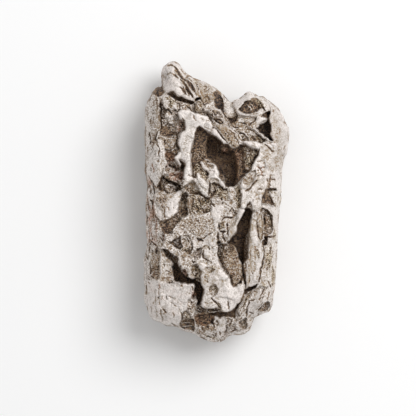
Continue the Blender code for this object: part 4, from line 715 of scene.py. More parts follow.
    "gap 0.2 -0.3 -1.6,17.3 -1.2,17 -0.9,17.2",
    "brown 0.2 -0.25 0.2,17.6 0.6,17 0.7,16.4",
    "bright 0.18 0.25 1.8,15.1 2.6,14.4 3.3,13.8 4,13.2",
    "bright 0.18 0.25 3.1,14.5 4,13.6 4.6,12.8 5,12",
    "bright 0.2 0.25 4.4,14 5.3,13.6 6.2,12.8",
    "gap 0.2 -0.4 2.4,14.2 3.2,13.4 3.9,12.4 4.3,11.4",
    "gap 0.26 -0.5 0,14 0.6,13.2 1.3,12.4 1.9,11.9",
    "brown 0.2 -0.3 1.4,13.9 1.9,13.1 2.5,12.4",
    "grey 0.22 -0.25 2,13.6 2.7,12.8",
    "bright 0.28 0.5 6.1,14.9 7.4,14.3 8.3,13.5 9.2,12.9 10.2,12.2 11,11.7",
    "gap 0.2 -0.4 6.2,14.4 7.2,13.9 8,13.2 9,12.5 9.9,11.9",
    "gap 0.26 -0.4 6.3,15 7,15.6 7.5,16 7.8,16.5",
    "bright 0.2 0.25 6,13.6 7,13.2 7.8,12.8",
    "olive 0.26 -0.3 5.2,16.5 5.8,16.2",
    "gap 0.24 -0.35 4.6,15.6 5,15.4 5.4,15.6 5.8,15.3",
    "gap 0.24 -0.35 3.2,14.8 3.7,14.5 4.3,14.7",
    "rust 0.2 -0.25 3.6,16.4 4,15.8",
    "cream 0.2 0.25 3.4,15 3.6,14.7",
    "gap 0.3 -0.4 8.2,11.7 8.7,11.6 9.2,11.8",
    "gap 0.24 -0.3 6.9,12.6 7.4,12.2 7.5,11.9",
    # the crown and the horn
    "grey 0.26 -0.2 4.6,21 5,21.3 5.4,21.5",
    "gap 0.24 -0.2 3.7,20.1 4.1,20.1 4.4,20.1",
    "gap 0.2 -0.4 4.3,18.1 4.9,18.9 5.5,19.6 6.2,20.05",
    "cream 0.16 0.2 5.9,19.4 6.5,18.8 6.9,18.2",
    "cream 0.16 0.2 6.7,19.4 7.1,18.9 7.4,18.3",
    "rust 0.2 0.1 7.3,18.9 7.8,18.4",
    "black 0.24 -0.4 8.2,18.7 8.5,18.5",
    "black 0.24 -0.4 7.6,20.5 8,20.4",
    "bright 0.18 0.25 4.5,17.35 6.2,17.05 7.4,16.95 8.3,16.9",
    "grey 0.22 -0.2 6.4,17 7.2,17.3 8.2,17.3",
    "gap 0.22 -0.35 8.7,16.9 9.2,17.2",
    "dusk 0.3 -0.3 11.1,18.2 11.2,17.7",
    "grey 0.26 -0.25 11.3,16.1 11.8,15.8 12.2,15.6",
    "dusk 0.24 -0.25 11.5,13.25 12,13.4 12.3,13.7 12.5,14.3",
    "grey 0.24 -0.2 11.6,12 12.2,11.6",
    "grey 0.22 -0.2 8.9,20.9 9.4,20.3 10,19.9",
    "bright 0.3 0.2 8.6,19.9 9.4,19.6 10.2,19.6",
    "dusk 0.26 -0.2 9.1,20.2 9.6,20",
    "gap 0.2 -0.3 13.4,16 13.9,15.2",
    "black 0.24 -0.4 12.95,9.3 13.05,9",
    "dusk 0.22 -0.25 13.3,10.4 13.6,11.2",
    # the right plate
    "gap 0.24 -0.4 9.5,11.2 9.9,10.9 10.3,10.6 10.7,10.2",
    "gap 0.24 -0.4 10.8,10.1 11.2,9.8",
    "dusk 0.24 -0.3 11,10.6 11.2,10.4",
    "gap 0.26 -0.6 8.4,10.2 8.1,9.4 7.7,8.8 7.2,8 6.8,7.2 6.6,6.3",
    "gap 0.28 -0.5 7.9,4.2 7.5,3.8 7,3.2 6.4,2.6 6,2.3 5.6,1.9",
    "bright 0.22 0.35 5.1,2.6 6,2.6 6.7,3.2 7.2,3.9 7.8,4.6",
    "dusk 0.24 -0.2 5.5,3.6 6,3.4",
    "dusk 0.22 -0.2 8,7.8 8.6,8 9,8",
    "rust 0.28 -0.25 7.9,6.8 8.5,6.5 9.2,6.8",
    "rust 0.2 -0.25 8.4,6.5 8.8,5.9 8.8,5.3 9.1,5.1",
    "gap 0.2 -0.3 8.2,6.2 8,6",
    "gap 0.22 -0.3 9.2,6.6 9.4,6.8",
    "gap 0.24 -0.3 7.5,6.1 7.6,5.7",
    "brown 0.2 -0.25 7.6,5.2 8.1,5 8.5,5.2",
    "gap 0.2 -0.3 9.9,4.4 10,4",
    "brown 0.2 -0.2 8,2.4 8.8,2.4",
    "gap 0.26 -0.4 6.3,0 6.5,-0.3 6.1,-0.5 6,-1.1",
    "brown 0.22 -0.2 7.1,0.3 7.2,0",
    "gap 0.2 -0.5 9.7,2.4 9.4,1.5 9.1,0.7 8.8,0",
    "gap 0.24 -0.4 10.2,2.5 11,2.6 11.7,2.5",
    "bright 0.14 0.2 10.4,2 10.7,1.5",
    "bright 0.14 0.2 10.7,1.4 11,0.9",
    "black 0.24 -0.4 8.9,-0.1 9.3,-0.2 9.6,0.2",
    "gap 0.24 -0.35 10.6,-0.7 11.2,-0.8 11.6,-1",
    "black 0.26 -0.5 9.8,-1.7 10.3,-2 10.4,-2.5 10,-2.7",
    "gap 0.26 -0.5 9.2,-2.8 9.4,-3.6 9.4,-4.5",
    "gap 0.24 -0.4 10.8,-5.3 10.9,-4.6",
    "olive 0.26 -0.3 10.4,-5.6 10.7,-6.2",
    "gap 0.24 -0.4 9.8,-7 10.4,-7.2 11,-7 11.6,-6.8",
    "gap 0.26 -0.4 9.3,-6.2 9.6,-6.6",
    # the long leaf and the right flank
    "gap 0.2 -0.5 7.95,-3.4 7.95,-4.4 8,-5.6 8.1,-6.5 8.3,-7.2 8.6,-7.8",
    "black 0.24 -0.9 9.35,-10.2 9.25,-11 9.05,-12.2 8.75,-13.4 8.45,-14.6 8.15,-15.8",
    "gap 0.2 -0.6 9.1,-8.6 9.3,-9.4 9.4,-10.2",
    "gap 0.24 -0.8 4.95,-12.4 5.15,-13.4 5.4,-14.6 5.55,-15.8 5.6,-17",
    "olive 0.3 -0.25 7.8,-9.3 8,-10 8.2,-10.8 8.4,-11.2",
    "brown 0.2 -0.3 8.3,-10.2 8.35,-10.9",
    "rust 0.16 0.1 7.5,-9.2 7.8,-9.6",
    "dusk 0.22 -0.2 6.8,-13.8 7,-14.4",
    "grey 0.2 -0.2 6.6,-7 6.7,-8.4",
    "grey 0.2 -0.2 6.7,-9.6 6.6,-11.4",
    "grey 0.2 -0.2 6.2,-12 6.3,-13.6",
    "olive 0.26 -0.25 6.4,-14.8 6.4,-15.8",
    "brown 0.28 -0.3 10.5,-8.3 10.8,-8.8",
    "gap 0.24 -0.3 10.6,-9.1 10.7,-9.5",
    "brown 0.2 -0.25 11,-9.6 11,-11.2",
    "olive 0.22 -0.25 10.4,-11.6 10.4,-12.8",
    "brown 0.2 -0.25 10,-12.8 10,-13.6",
    "gap 0.28 -0.35 10.1,-15.9 10.5,-16.6 10.7,-17.1",
    "gap 0.24 -0.35 10.3,-17.9 10.2,-18.8 9.9,-19.7",
    "gap 0.2 -0.3 9.4,-17.2 9,-18.1 8.6,-18.8",
    "gap 0.22 -0.35 8.7,-18.9 8.3,-19.6",
    # the lower left
    "gap 0.3 -0.4 -13.3,-8.9 -13.5,-9.7",
    "gap 0.26 -0.4 -12,-9.2 -12.1,-10.2",
    "brown 0.24 -0.3 -12.9,-9.6 -12.8,-10.8",
    "gap 0.26 -0.4 -13.9,-11 -13.7,-11.6",
    "gap 0.24 -0.4 -13.3,-12 -13.2,-13.2 -13.1,-14.4",
    "gap 0.26 -0.4 -12.9,-14.8 -12.4,-15.3",
    "gap 0.3 -0.4 -13.6,-16 -13.3,-16.4",
    "gap 0.3 -0.4 -10.6,-9.5 -10.2,-10",
    "gap 0.24 -0.3 -10.4,-12.4 -10.3,-12.9",
    "gap 0.24 -0.3 -10.3,-13.8 -9.8,-13.8 -9.2,-14",
    "brown 0.24 -0.3 -9.9,-15.9 -9.2,-16.1 -8.8,-15.8",
    "bright 0.22 0.3 -8.7,-16.15 -7.6,-16.2 -7,-16.3",
    "gap 0.26 -0.3 -7,-16.4 -6.8,-16.7",
    "gap 0.2 -0.3 -5,-16.8 -4.8,-17.5",
    "cream 0.26 0.3 -5.9,-14.2 -5.5,-14 -5.1,-13.8",
    "bright 0.2 0.3 -7.6,-10 -7.2,-10.3",
    "gap 0.2 -0.3 -5.7,-10.9 -5.2,-11.2",
    "brown 0.2 -0.25 -7.2,-12.6 -7,-13.2",
    "rust 0.2 -0.2 -11.4,-16.2 -11.4,-17.4",
    "grey 0.28 -0.2 -13.7,-18 -13.3,-18.2",
    "grey 0.24 -0.2 -9.4,-20 -8.7,-20.3 -8,-20.8",
    "grey 0.24 -0.2 -9.6,-18.8 -8.8,-19.1 -8,-19.2",
    "grey 0.24 -0.2 -5.9,-18.1 -5.3,-18.3",
    "olive 0.26 -0.25 -12.7,-19.9 -12.6,-20.4",
    "olive 0.22 -0.25 -11.7,-18.9 -11.7,-19.4",
    "olive 0.2 -0.25 -10,-18.9 -10,-19.4",
    "gap 0.28 -0.35 -10.8,-21.2 -10.4,-21.5 -10.1,-22.1",
    "brown 0.2 -0.25 -10.9,-23.1 -10.7,-23.6",
    "gap 0.24 -0.35 -9,-24.2 -8.5,-24.5 -8,-24.9",
    "grey 0.2 -0.2 -12,-21.6 -11.7,-22.8",
    "grey 0.2 -0.2 -13,-20.8 -12.9,-22.4",
    "grey 0.2 -0.2 -11.2,-21.4 -11,-22.8",
    "black 0.24 -0.5 -6.95,-22 -7,-22.8 -6.95,-23.5",
    "cream 0.18 0.3 -7.2,-24.4 -6.4,-24.2 -5.6,-24.1 -4.8,-24.1",
    "cream 0.16 0.25 -6.8,-24.9 -6,-24.8 -5.2,-24.7",
    "rust 0.24 0.2 -6.6,-25.4 -5.8,-25.4",
    "cream 0.2 0.3 -4.25,-24 -4.2,-25 -4.2,-25.9",
    # the foot ridge and the foot
    "gap 0.24 -0.5 -1.2,-19 -0.8,-19.6 -0.3,-20 0.2,-20.4 0.5,-20.9",
    "olive 0.22 -0.3 0.2,-20 0.6,-20.6 0.7,-21.3",
    "gap 0.22 -0.4 2.2,-19.8 2.1,-20.4 2.3,-20.9 2.2,-21.3",
    "brown 0.2 -0.25 2.2,-20.8 2.6,-20.8",
    "olive 0.2 -0.25 -2.2,-19.7 -2.2,-19.9",
    "grey 0.3 -0.2 -2.4,-14.8 -2.2,-15.4 -1.8,-16",
    "gap 0.22 -0.4 -3.3,-20.9 -2.8,-21.2 -2.4,-21.4",
    "bright 0.16 0.25 -3.3,-20.6 -2.8,-21 -2.2,-21.25 -1.4,-21.2",
    "gap 0.2 -0.35 -1.8,-21.5 -0.6,-21.6 0.5,-21.5",
    "black 0.26 -0.5 -4.2,-21.6 -3.2,-22 -2.2,-22.3 -1.4,-22.4",
    "gap 0.24 -0.4 -4.6,-22.8 -3.6,-22.8 -2.6,-22.6",
    "gap 0.3 -0.5 -3.4,-23.2 -2.6,-23.4 -2,-23",
    "gap 0.3 -0.5 -1,-23.4 -0.8,-24.2 -0.6,-25",
    "gap 0.26 -0.5 0,-23.6 0.3,-24.2",
    "black 0.26 -0.6 -2.9,-25 -2.85,-25.6",
    "gap 0.24 -0.5 -2,-24.7 -1.7,-25",
    "black 0.26 -0.6 0.6,-22.9 0.65,-23.3",
    "brown 0.34 -0.7 2.1,-24.3 1.9,-25 1.8,-25.8",
    "gap 0.22 -0.5 2.7,-23.4 2.7,-24 2.5,-24.8",
    "gap 0.3 -0.6 2.5,-26 3.2,-25.8 4,-25.6",
    "cream 0.18 0.3 2.4,-24.6 2.4,-25.6",
    "gap 0.22 -0.4 0.6,-26 0.7,-26.6",
    "olive 0.24 -0.4 -2.4,-26.5 -1.6,-26.8 -0.8,-27.2 0,-27.4",
    "brown 0.24 -0.4 3.3,-24.4 3.8,-23.8 4.2,-23",
    "brown 0.22 -0.4 4.2,-23.8 4.8,-23.1 5.2,-22.6",
    "gap 0.26 -0.5 4.8,-21.2 5.2,-20.7 5.4,-20.2",
    "brown 0.24 -0.4 4.8,-22.2 5.2,-21.7 5.6,-21.4",
    "gap 0.3 -0.7 6.5,-19.7 6.1,-20.4 5.9,-21.2 5.85,-22.2 5.8,-23",
    "gap 0.26 -0.5 6.6,-19.7 7.1,-19.6 7.5,-19.4",
    "cream 0.2 0.3 4.4,-22.6 4.8,-21.8 5,-21",
    "gap 0.2 -0.35 6.4,-21.9 6.8,-22.2 7.2,-22.4",
    "bright 0.2 0.3 7.7,-22.1 8.1,-21.2 8.8,-20.5 9.4,-20",
    "gap 0.24 -0.4 8.2,-21.6 8.8,-20.9",
    "bright 0.24 0.3 2.6,-26.4 4.4,-26.3 5.6,-25.9 6.4,-25.2",
    "black 0.22 -0.8 5.4,-18 5.1,-18.9 4.7,-19.8 4,-20.6 3.5,-21.2",
    # specks all over
    "gap 0.24 -0.3 dots -9.6,18.8 -9.9,15.4 -9.5,15 -9,14.2 -10.5,14.6 -9.6,10.8 -8.8,12.2 -10.5,6.5 "
     "-10.2,6.2 -11.6,4.2 -12.9,7 -12.2,11.6 -12.5,11.2 -13,10.4 -7.5,18.6 -6.4,19.2 -6.9,18.5 -5.6,19",
    "olive 0.28 -0.2 dots -6.1,11.8 -6,16.4 -3,16.3 -7.9,9.3 -2.2,22.3 3.8,21 5.2,21.5",
    "gap 0.22 -0.3 dots -8.6,-1.2 -9.6,0.2 -10.6,0.4 -11.3,0.1 -9.2,-0.2 -11,-5 -10.4,-4.4 -10.2,-5.8 "
     "-9.4,-6.6 -11.8,-6 -3.9,18.3 -3.2,18.2 -3.6,19",
    "gap 0.22 -0.3 dots -6.8,-3.9 -6.2,-4.2 -5.7,-3.8 -5.2,-4.3 -6.4,-4.9 -5.9,-5.3 -7.1,-5.3 -6.1,-5.9 "
     "-5.3,-6 -4.6,-4.4 -4.2,-5 -4.4,-5.7 -3.6,-6.8 -2.9,-6.4 -2.3,-5.5 -1.4,-5.3 -5.6,-4.9 -6.7,-4.5 "
     "-7.4,-4.7 -7.7,-6 -8.3,-6.3",
    "bright 0.2 0.1 dots -6.5,-3.6 -5.9,-4 -5.3,-3.7 -6.1,-4.6 -5.5,-4.5 -6.6,-5.2 -5.9,-4.9 -7.4,-5.8 "
     "-8,-6.4 -7.7,-6.2 -4.1,-4.2 -2.6,-5.6 -3.4,-5.4",
    "gap 0.22 -0.3 dots 2.2,-14.9 3,-14.6 3.4,-15.2 2.9,-14.2 3.9,-14.6 3.3,-13.6 4.1,-13.4 2.6,-12.3 "
     "3.6,-12.2 2.2,-11.2 3.2,-10.8 3.8,-15.6 2.4,-13 4.3,-14.9",
    "cream 0.2 0.1 dots 3.6,-14.2 3.1,-12.8 2.6,-11.6 3.8,-12.8 3.4,-14.9 2,-12.2 3,-10.2 4.2,-14.2",
    "gap 0.24 -0.3 dots -3.4,0.6 -2.4,-0.4 -4.2,-1.6 -5.2,-2.2 -4.4,-2.4 -3,-1.8 -2.2,0 -5.5,-1.7 "
     "-1.7,-1.2 1,0.4 1.9,-0.6 2.6,-0.9 0.7,-1.7 1.3,-2.4 0.2,-2.3 1.7,-1.9 0.6,1.4 1.3,1.7 2.7,1.9 "
     "2.9,1.2 2.4,0.6",
    "rust 0.24 -0.2 dots 7.6,9.1 8,9.2 6.1,10.4 6.4,9.8 -9.2,-12.4 -3.6,-10.5 -6.8,14.5 -12.7,20.3 "
     "-12,20.2 10.2,-3.9",
    "gap 0.24 -0.3 dots 6.4,9 6.6,8 6.2,9.8 5.6,10.6 5.7,9 5.5,7.2 6,6.8 9.6,-5.4 10.1,-2.9 9.9,-4.4 "
     "10.5,-6.4 11.6,-1.6 11.9,-0.4 10.2,0.3 10.5,3.2 10.9,4.4 2.1,11.5 1.5,10.8 1,10.2 -0.4,-13.4 "
     "-1.2,-13.6 -2,-13.4 -0.9,-17.4 -1.1,-18.2 -0.6,-16.9",
    "pale 0.22 0.1 dots -9.4,14.6 -10.4,15.2 -8.8,13.9 6.1,9.4 6.3,8.8 6.5,8 -3,0 -4.6,-0.4 -2.2,-1.2 "
     "-9.6,2.8 -8.4,2.9 -7.6,6.9 -2.4,0.9",
    # the left strip's specks
    "umber 0.2 -0.3 dots -13.3,12.2 -13.2,11.7 -12.6,12.4 -12.5,11.4 -12.9,11 -13,10.4 -12.5,10.4 "
     "-13.9,9 -13.8,8.4 -13.6,7.6 -12.2,9.2 -12,10 -13.3,14.4 -13.2,15 -12.7,14 -13.6,13.6 -13.7,12.8 "
     "-12.4,13.2 -12.9,16.4 -12.3,17.4 -13.1,17.8 -13.7,16.2 -12.4,15.4 -13.8,10.6 -13.3,9.4",
])

# stains, painted light and painted shade that change the finish only: finish, amount and outline
stone["spots"] = readSpots([
    "dusk 0.35 -11.8,1.6 -9.8,0.8 -9.9,-0.6 -10.3,-1.9 -11.2,-1.2 -12,-0.2",
    "grey 0.5 -5.5,13.6 -4.4,13.6 -4.2,12.4 -5.4,11.6 -6.4,12.4",
    "cream 0.6 -6.8,12.4 -5.2,11.2 -5.2,3.4 -6.6,3 -6.4,8 -7.2,10",
    "grey 0.35 -2.6,14.8 -1,14.8 -1,13.6 -1.8,13.5",
    "cream 0.7 -8.6,2.6 -8,3.4 -7.4,3.6 -8,2.6",
    "dusk 0.4 9,9.8 10,9.4 10.2,8 9.2,8",
    "grey 0.5 12,11 13,10 13,6 12.2,4 11.6,6 11.8,9",
    "cream 0.6 5,2.4 8.6,2.6 8.8,-0.2 7.8,-1.8 7,-0.6 5,-1.2",
    "brown 0.4 -4.8,12 -4,13.6 -3,14.2 -2,13.4 -2.2,9 -3.4,8 -4.8,8",
    "brown 0.5 4.2,10.6 5.2,10.4 5,8 4.8,6 4.4,8",
    "grey 0.4 8,-14 7.4,-12 7.6,-9 6.6,-8 6.8,-12 7,-14",
    "cream 0.6 -3,-17 1.6,-16 4.6,-18 2.8,-21.4 0.8,-21.6 -2.6,-20.6",
    "dusk 0.3 -2.2,-15 -1.4,-14.4 -0.8,-15.4 -1.8,-16.4",
    "rust 0.25 -12.6,-4 -11.8,-4.2 -11.8,-8 -12.8,-8",
    "dusk 0.3 3,-11 3.6,-12 4.8,-14.6 4.2,-15.8 3.2,-15.4 2.6,-13",
    "bright 0.6 12,3 12.7,3 12.7,-2 12,-2",
    "grey 0.4 -8.8,-19 -6.4,-17 -5.4,-18.4 -6.6,-20.6 -8.2,-20.4",
    "cream 0.7 -14.6,18.8 -12.4,18.8 -11.4,18 -11.4,14.4 -12.6,12.6 -14.4,13.4",
    # painted light on the peak's left face, which slopes away from the light
    "white 0.9 -11.2,26.4 -9.4,26.2 -9.1,22.6 -10.9,22.4",
    "olive 0.6 6.9,10.2 8.2,9.8 8,8.9 7.3,8 6.8,8.6",
    "cream 0.9 -6.2,2.6 -5.6,4 -4.8,4.6 -3.7,3.4 -3.5,2.4 -4.6,2.2 -5.6,2.2",
    # painted shade beside the crevice
    "earth 0.9 2.4,16.6 3,15.4 3.6,14.6 4.6,14.6 4.4,15.8 3.8,16.8",
    "cream 0.9 -9.8,12.4 -8.4,12.3 -7.9,11.2 -8.4,10.6 -9.8,10.6",
    "dusk 0.7 -11.5,2.4 -9.6,2.4 -9.2,1.2 -10,0.2 -11.2,-0.6 -11.6,0.6",
    "earth 0.9 -11.2,14.8 -9.4,14.6 -8.4,13.4 -9.6,12.8 -11.2,13.2",
    "cream 0.5 -8.6,16.2 -7.6,15.8 -7.4,14.8 -8.6,14.6",
    "earth 0.7 -7.6,0.2 -6.6,1.4 -6,0 -5.9,-2.6 -6.8,-3 -7.8,-2.6 -7.4,-1",
    "slate 0.5 -9.6,1.6 -8.6,2 -7.8,1.8 -8.4,0.9 -9.4,0.6",
    "slate 0.5 -5.6,24.4 -1.4,23.6 -0.8,21 -3,20.4 -4.4,22",
    "grey 0.9 -4.8,-2.8 -1.4,-3.4 -1.2,-5.6 -2.4,-6.6 -5.6,-6 -6.4,-4.4",
    "cream 0.7 0.4,2.4 2.6,2.4 2.8,0.4 1,0.2",
    # painted light in the side cavity's notch, against the shade its depth casts
    "bright 0.6 10.7,4.2 11.4,4.4 11.4,2.9 10.6,2.9",
    "earth 0.5 9.2,2.2 10.2,2 10.8,0.4 9.6,-0.2 9,0.4",
    "cream 0.8 -10.8,-9.4 -9.6,-11 -8.8,-12.4 -9,-14 -10.6,-14 -11.2,-10.6",
    "earth 0.6 1.2,-8.4 3.8,-8.9 3.9,-10.4 1.5,-10.8",
    "earth 0.4 4.6,-12 5.2,-12.2 5.5,-14.6 4.9,-14.2",
    # painted light on the foot block, whose left side slopes away from the light
    "white 0.9 -14.2,-16.6 -10,-16.6 -5.2,-18 -5.6,-20.6 -8,-24.4 -12,-24 -14,-21",
    "white 0.6 0.6,-16.4 3,-17 4.8,-18.6 3.2,-20.8 1.4,-21.4 0,-19",
    "cream 0.7 6.6,-20 8.4,-19.4 9.4,-22 8.6,-23 6.6,-22.8",
    "cream 0.5 9,-19 10.2,-18 10.6,-19.8 9.6,-20.2",
    "cream 0.6 3,-22 4,-22.4 4.6,-24.6 3,-24",
    "earth 0.5 -7.4,-24 -6.6,-23.4 -4.8,-23.4 -4.6,-25.6 -6,-25.2 -7.4,-24.8",
    "slate 0.55 -11.2,-20.4 -10.2,-20.2 -9.8,-23.8 -10.6,-24.2 -11.1,-22",
    "white 0.7 -13,5.2 -11.4,4.8 -11.9,3 -12.7,3.2",
    "grey 0.5 4.6,-23.4 6.4,-23 6.4,-25.6 5,-25.8",
    "dusk 0.8 5.9,-2 6.9,-2 6.6,-4 6.3,-6 6.2,-9 6.4,-11.6 5.8,-12 5.4,-10 5.7,-6",
    "cream 0.6 9.6,-19.8 10.8,-19.8 10.8,-21.4 9.9,-20.9",
    "bright 0.6 7.4,-21.6 10.2,-22 9.8,-22.8 7.4,-23.6",
    "earth 0.5 9.3,-3 10.6,-3.4 11,-5 10,-6.4 9.3,-6",
    "dusk 0.5 9.9,5.2 10.6,4.6 10.2,2 9.5,1.6",
    "cream 0.5 -12.9,-5 -11.4,-5 -11.4,-8 -12.9,-8",
    "cream 0.5 -11.2,6.4 -9.4,6.4 -9.4,4.6 -11,5",
    "dusk 0.6 4.6,15.8 5.6,16.2 6.6,15.4 6,14.6 4.8,14.6",
    # these two lighten the right edge: painted light where it slopes away from the light
    "white 0.6 11.2,-1.4 12.6,-1.4 12.6,-7 11.3,-6",
    "white 0.5 11.4,6.2 12.2,6 12.2,3 11.5,3",
    "umber 0.7 -3.4,14 -2,13.2 -2,9.4 -2.8,9.8",
    "cream 0.5 -14.6,6.4 -13.4,6.4 -13.4,4.2 -14.6,4.2",
])


salts = dict(  # where the noises start, so that no two are alike
    wander=21, patches=25, fray=61, mottle=41, crumbs=51, facets=52,
    bend=38, sideMottle=5, sideRust=6, sideGrain=7, grains=32, streaks=35,
)
# what the columns of a finish hold; the last two are the direction of its streaks
atLight, atRed, atGrain, atCrumbs, atStreak, atTurnX, atTurnY = range(7)


def ease(value):
    value = np.clip(value, 0, 1)
    return value * value * (3 - 2 * value)


def quarterRound(value):
    return np.sqrt(1 - (1 - np.clip(value, 0, 1)) ** 2)


def cutCorners(points):
    rounded = []
    for (ax, ay), (bx, by) in zip(points, points[1:] + points[:1]):
        rounded.append((0.75 * ax + 0.25 * bx, 0.75 * ay + 0.25 * by))
        rounded.append((0.25 * ax + 0.75 * bx, 0.25 * ay + 0.75 * by))
    return rounded


def towardsLine(x, y, start, end):  # share of the way along a line, and the squared distance
    dx, dy = end[0] - start[0], end[1] - start[1]
    along = np.clip(((x - start[0]) * dx + (y - start[1]) * dy) / (dx * dx + dy * dy), 0, 1)
    return along, (x - start[0] - along * dx) ** 2 + (y - start[1] - along * dy) ** 2


def outlineDistance(x, y, points):  # negative inside
    nearest = np.full(x.shape, np.inf)
    inside = np.zeros(x.shape, bool)
    for (ax, ay), (bx, by) in zip(points, points[1:] + points[:1]):
        _, away = towardsLine(x, y, (ax, ay), (bx, by))
        nearest = np.minimum(nearest, away)
        if ay != by:
            inside ^= ((ay > y) != (by > y)) & (x < ax + (bx - ax) * (y - ay) / (by - ay))
    nearest = np.sqrt(nearest)
    return np.where(inside, -nearest, nearest)


def routeDistance(x, y, points):  # how far the route is, and how far along it (0 to 1)
    nearest = np.full(x.shape, np.inf)
    reached = np.zeros(x.shape)
    walked = 0.0
    for start, end in zip(points, points[1:]):
        length = math.hypot(end[0] - start[0], end[1] - start[1])
        along, away = towardsLine(x, y, start, end)
        reached = np.where(away < nearest, walked + along * length, reached)
        nearest = np.minimum(nearest, away)
        walked += length
    return np.sqrt(nearest), reached / walked


def insetOf(places):  # how far inside the outline each place is
    return np.maximum(-outlineDistance(places[:, 0], places[:, 1], stone["outline"]), 0)


def lattice(cell, salt):  # a fixed value from 0 to 1 for each cell
    key = (cell * np.array([73856093, 19349663, 83492791])).sum(axis=1) + salt * 2654435761
    key = (key ^ (key >> 13)) * 1274126177 & 0xFFFFFFFF
    return ((key ^ (key >> 16)) & 0xFFFF) / 65535.0


def softNoise(places, size, salt):
    scaled = places / size
    cell = np.floor(scaled).astype(np.int64)
    part = ease(scaled - cell)
    total = np.zeros(len(places))
    for corner in np.ndindex(2, 2, 2):
        weight = np.prod(np.where(corner, part, 1 - part), axis=1)
        total += weight * lattice(cell + corner, salt)
    return 2 * total - 1


def blocks(places, size, salt, steps=(3, 3, 3)):  # number, offset and border of the nearest block
    scaled = places / size
    cell = np.floor(scaled).astype(np.int64)
    first = np.full(len(places), np.inf)
    second = np.full(len(places), np.inf)
    number = np.zeros(len(places))
    offset = np.zeros(places.shape)
    spread = np.array(steps) > 1
    for step in np.ndindex(*steps):
        other = cell + (np.array(step) - 1) * spread
        centre = other + np.stack([lattice(other, salt + k) for k in range(3)], axis=1) * spread
        distance = np.linalg.norm(scaled - centre, axis=1)
        closer = distance < first
        second = np.where(closer, first, np.minimum(second, distance))
        number = np.where(closer, lattice(other, salt + 3), number)
        offset = np.where(closer[:, None], scaled - centre, offset)
        first = np.where(closer, distance, first)
    return number, offset, second - first


def flatPlaces(x, y):
    return np.stack([x, y, np.zeros_like(x)], axis=1)


def wandered(x, y):  # the places, moved a little so that edges waver
    flat = flatPlaces(x, y)
    size, reach, salt = stone["wanderSize"], stone["edgeWander"], salts["wander"]
    fine = size / 2.2
    return (x + reach * softNoise(flat, size, salt) + 0.5 * reach * softNoise(flat, fine, salt + 1),
            y + reach * softNoise(flat, size, salt + 2) + 0.5 * reach * softNoise(flat, fine, salt + 3))


def finishRow(name, streak, turn):  # the finish, its streaks and their direction
    angle = math.radians(turn)
    return np.array([*finishes[name], streak, math.cos(angle), math.sin(angle)])


def mottling(x, y, form):  # patches of noise, drawn out along the streaks of a form
    if form["streak"]:
        angle = math.radians(form["turn"])
        along = x * math.cos(angle) + y * math.sin(angle)
        across = y * math.cos(angle) - x * math.sin(angle)
        x, y = along / 3.2, across * 1.7
    flat = flatPlaces(x, y)
    broad = softNoise(flat, stone["mottleSize"], salts["mottle"])
    return broad + 0.8 * softNoise(flat, stone["mottleFine"], salts["mottle"] + 1)


def frontLevel(y):  # the front drops towards the peak and the foot
    peak = ease((y - stone["peakFrom"]) / stone["peakLength"])
    foot = ease((stone["footFrom"] - y) / stone["footLength"])
    return stone["top"] - stone["peakDrop"] * peak - stone["footDrop"] * foot


def newFront(x, y):  # the places, their noises, and the height and finish that the forms change
    wx, wy = wandered(x, y)
    flat = flatPlaces(x, y)
    order = np.argsort(y)
    fray = 0.30 * softNoise(flat, 0.8, salts["fray"]) + 0.26 * softNoise(flat, 0.4, salts["fray"] + 1)
    return dict(x=x, y=y, wx=wx, wy=wy, order=order, sortedY=y[order], fray=fray,
                patchy=ease(0.5 + 1.1 * softNoise(flat, 1.3, salts["patches"])),
                height=frontLevel(y), finish=np.tile(finishRow("pale", 0.2, 50), (len(x), 1)))


def near(front, points, margin):  # the places within a margin of a shape's box
    spread = np.array(points)
    low, high = spread.min(axis=0) - margin, spread.max(axis=0) + margin
    first, last = np.searchsorted(front["sortedY"], (low[1], high[1]))
    strip = front["order"][first:last]
    return strip[(front["x"][strip] > low[0]) & (front["x"][strip] < high[0])]


def mixIn(front, some, finish, amount):  # blends the first four columns towards a finish
    held = front["finish"]
    held[some, :4] += (np.array(finishes[finish]) - held[some, :4]) * amount[:, None]


def layLedge(front, form):
    some = near(front, form["points"], form["wall"] + stone["ledgeReach"])
    sx, sy = front["wx"][some], front["wy"][some]
    height, finish = front["height"], front["finish"]
    middle = np.mean(form["points"], axis=0)
    away = outlineDistance(sx, sy, cutCorners(form["points"]))
    around = frontLevel(middle[1])
    share = stone["holeShare"] if form["finish"] == "black" else stone["stepShare"]
    level = around + share * (form["level"] - around)
    level = level + form["lean"][0] * (sx - middle[0]) + form["lean"][1] * (sy - middle[1])
    level = level + form["dome"] * (quarterRound(-away / form["curve"]) - stone["domeSink"])
    cover = ease(0.5 - away / (stone["wallShare"] * form["wall"]))
    height[some] += (level - height[some]) * cover
    row = np.tile(finishRow(form["finish"], form["streak"], form["turn"]), (len(some), 1))
    if form["mixed"]:
        chosen = mottling(front["x"][some], front["y"][some], form) - 1.1 * (0.5 - form["share"])
        other = finishRow(form["mixed"], form["streak"], form["turn"])
        row += (other - row) * ease(0.5 + chosen / stone["mottleBlur"])[:, None]
    fray = front["fray"][some] * (0.3 + finishes[form["finish"]][atCrumbs])
    finish[some] += (row - finish[some]) * ease(0.5 - (away + fray) / form["blur"])[:, None]
    if form["rim"]:  # a bright, slightly raised edge: painted highlight along the form's outline
        edge = form["rim"] * ease(1 + away / 0.35) * ease(1 - away / 0.15)
        edge = edge * (0.4 + 0.6 * front["patchy"][some])
        mixIn(front, some, "bright", edge)
        height[some] += 0.1 * edge


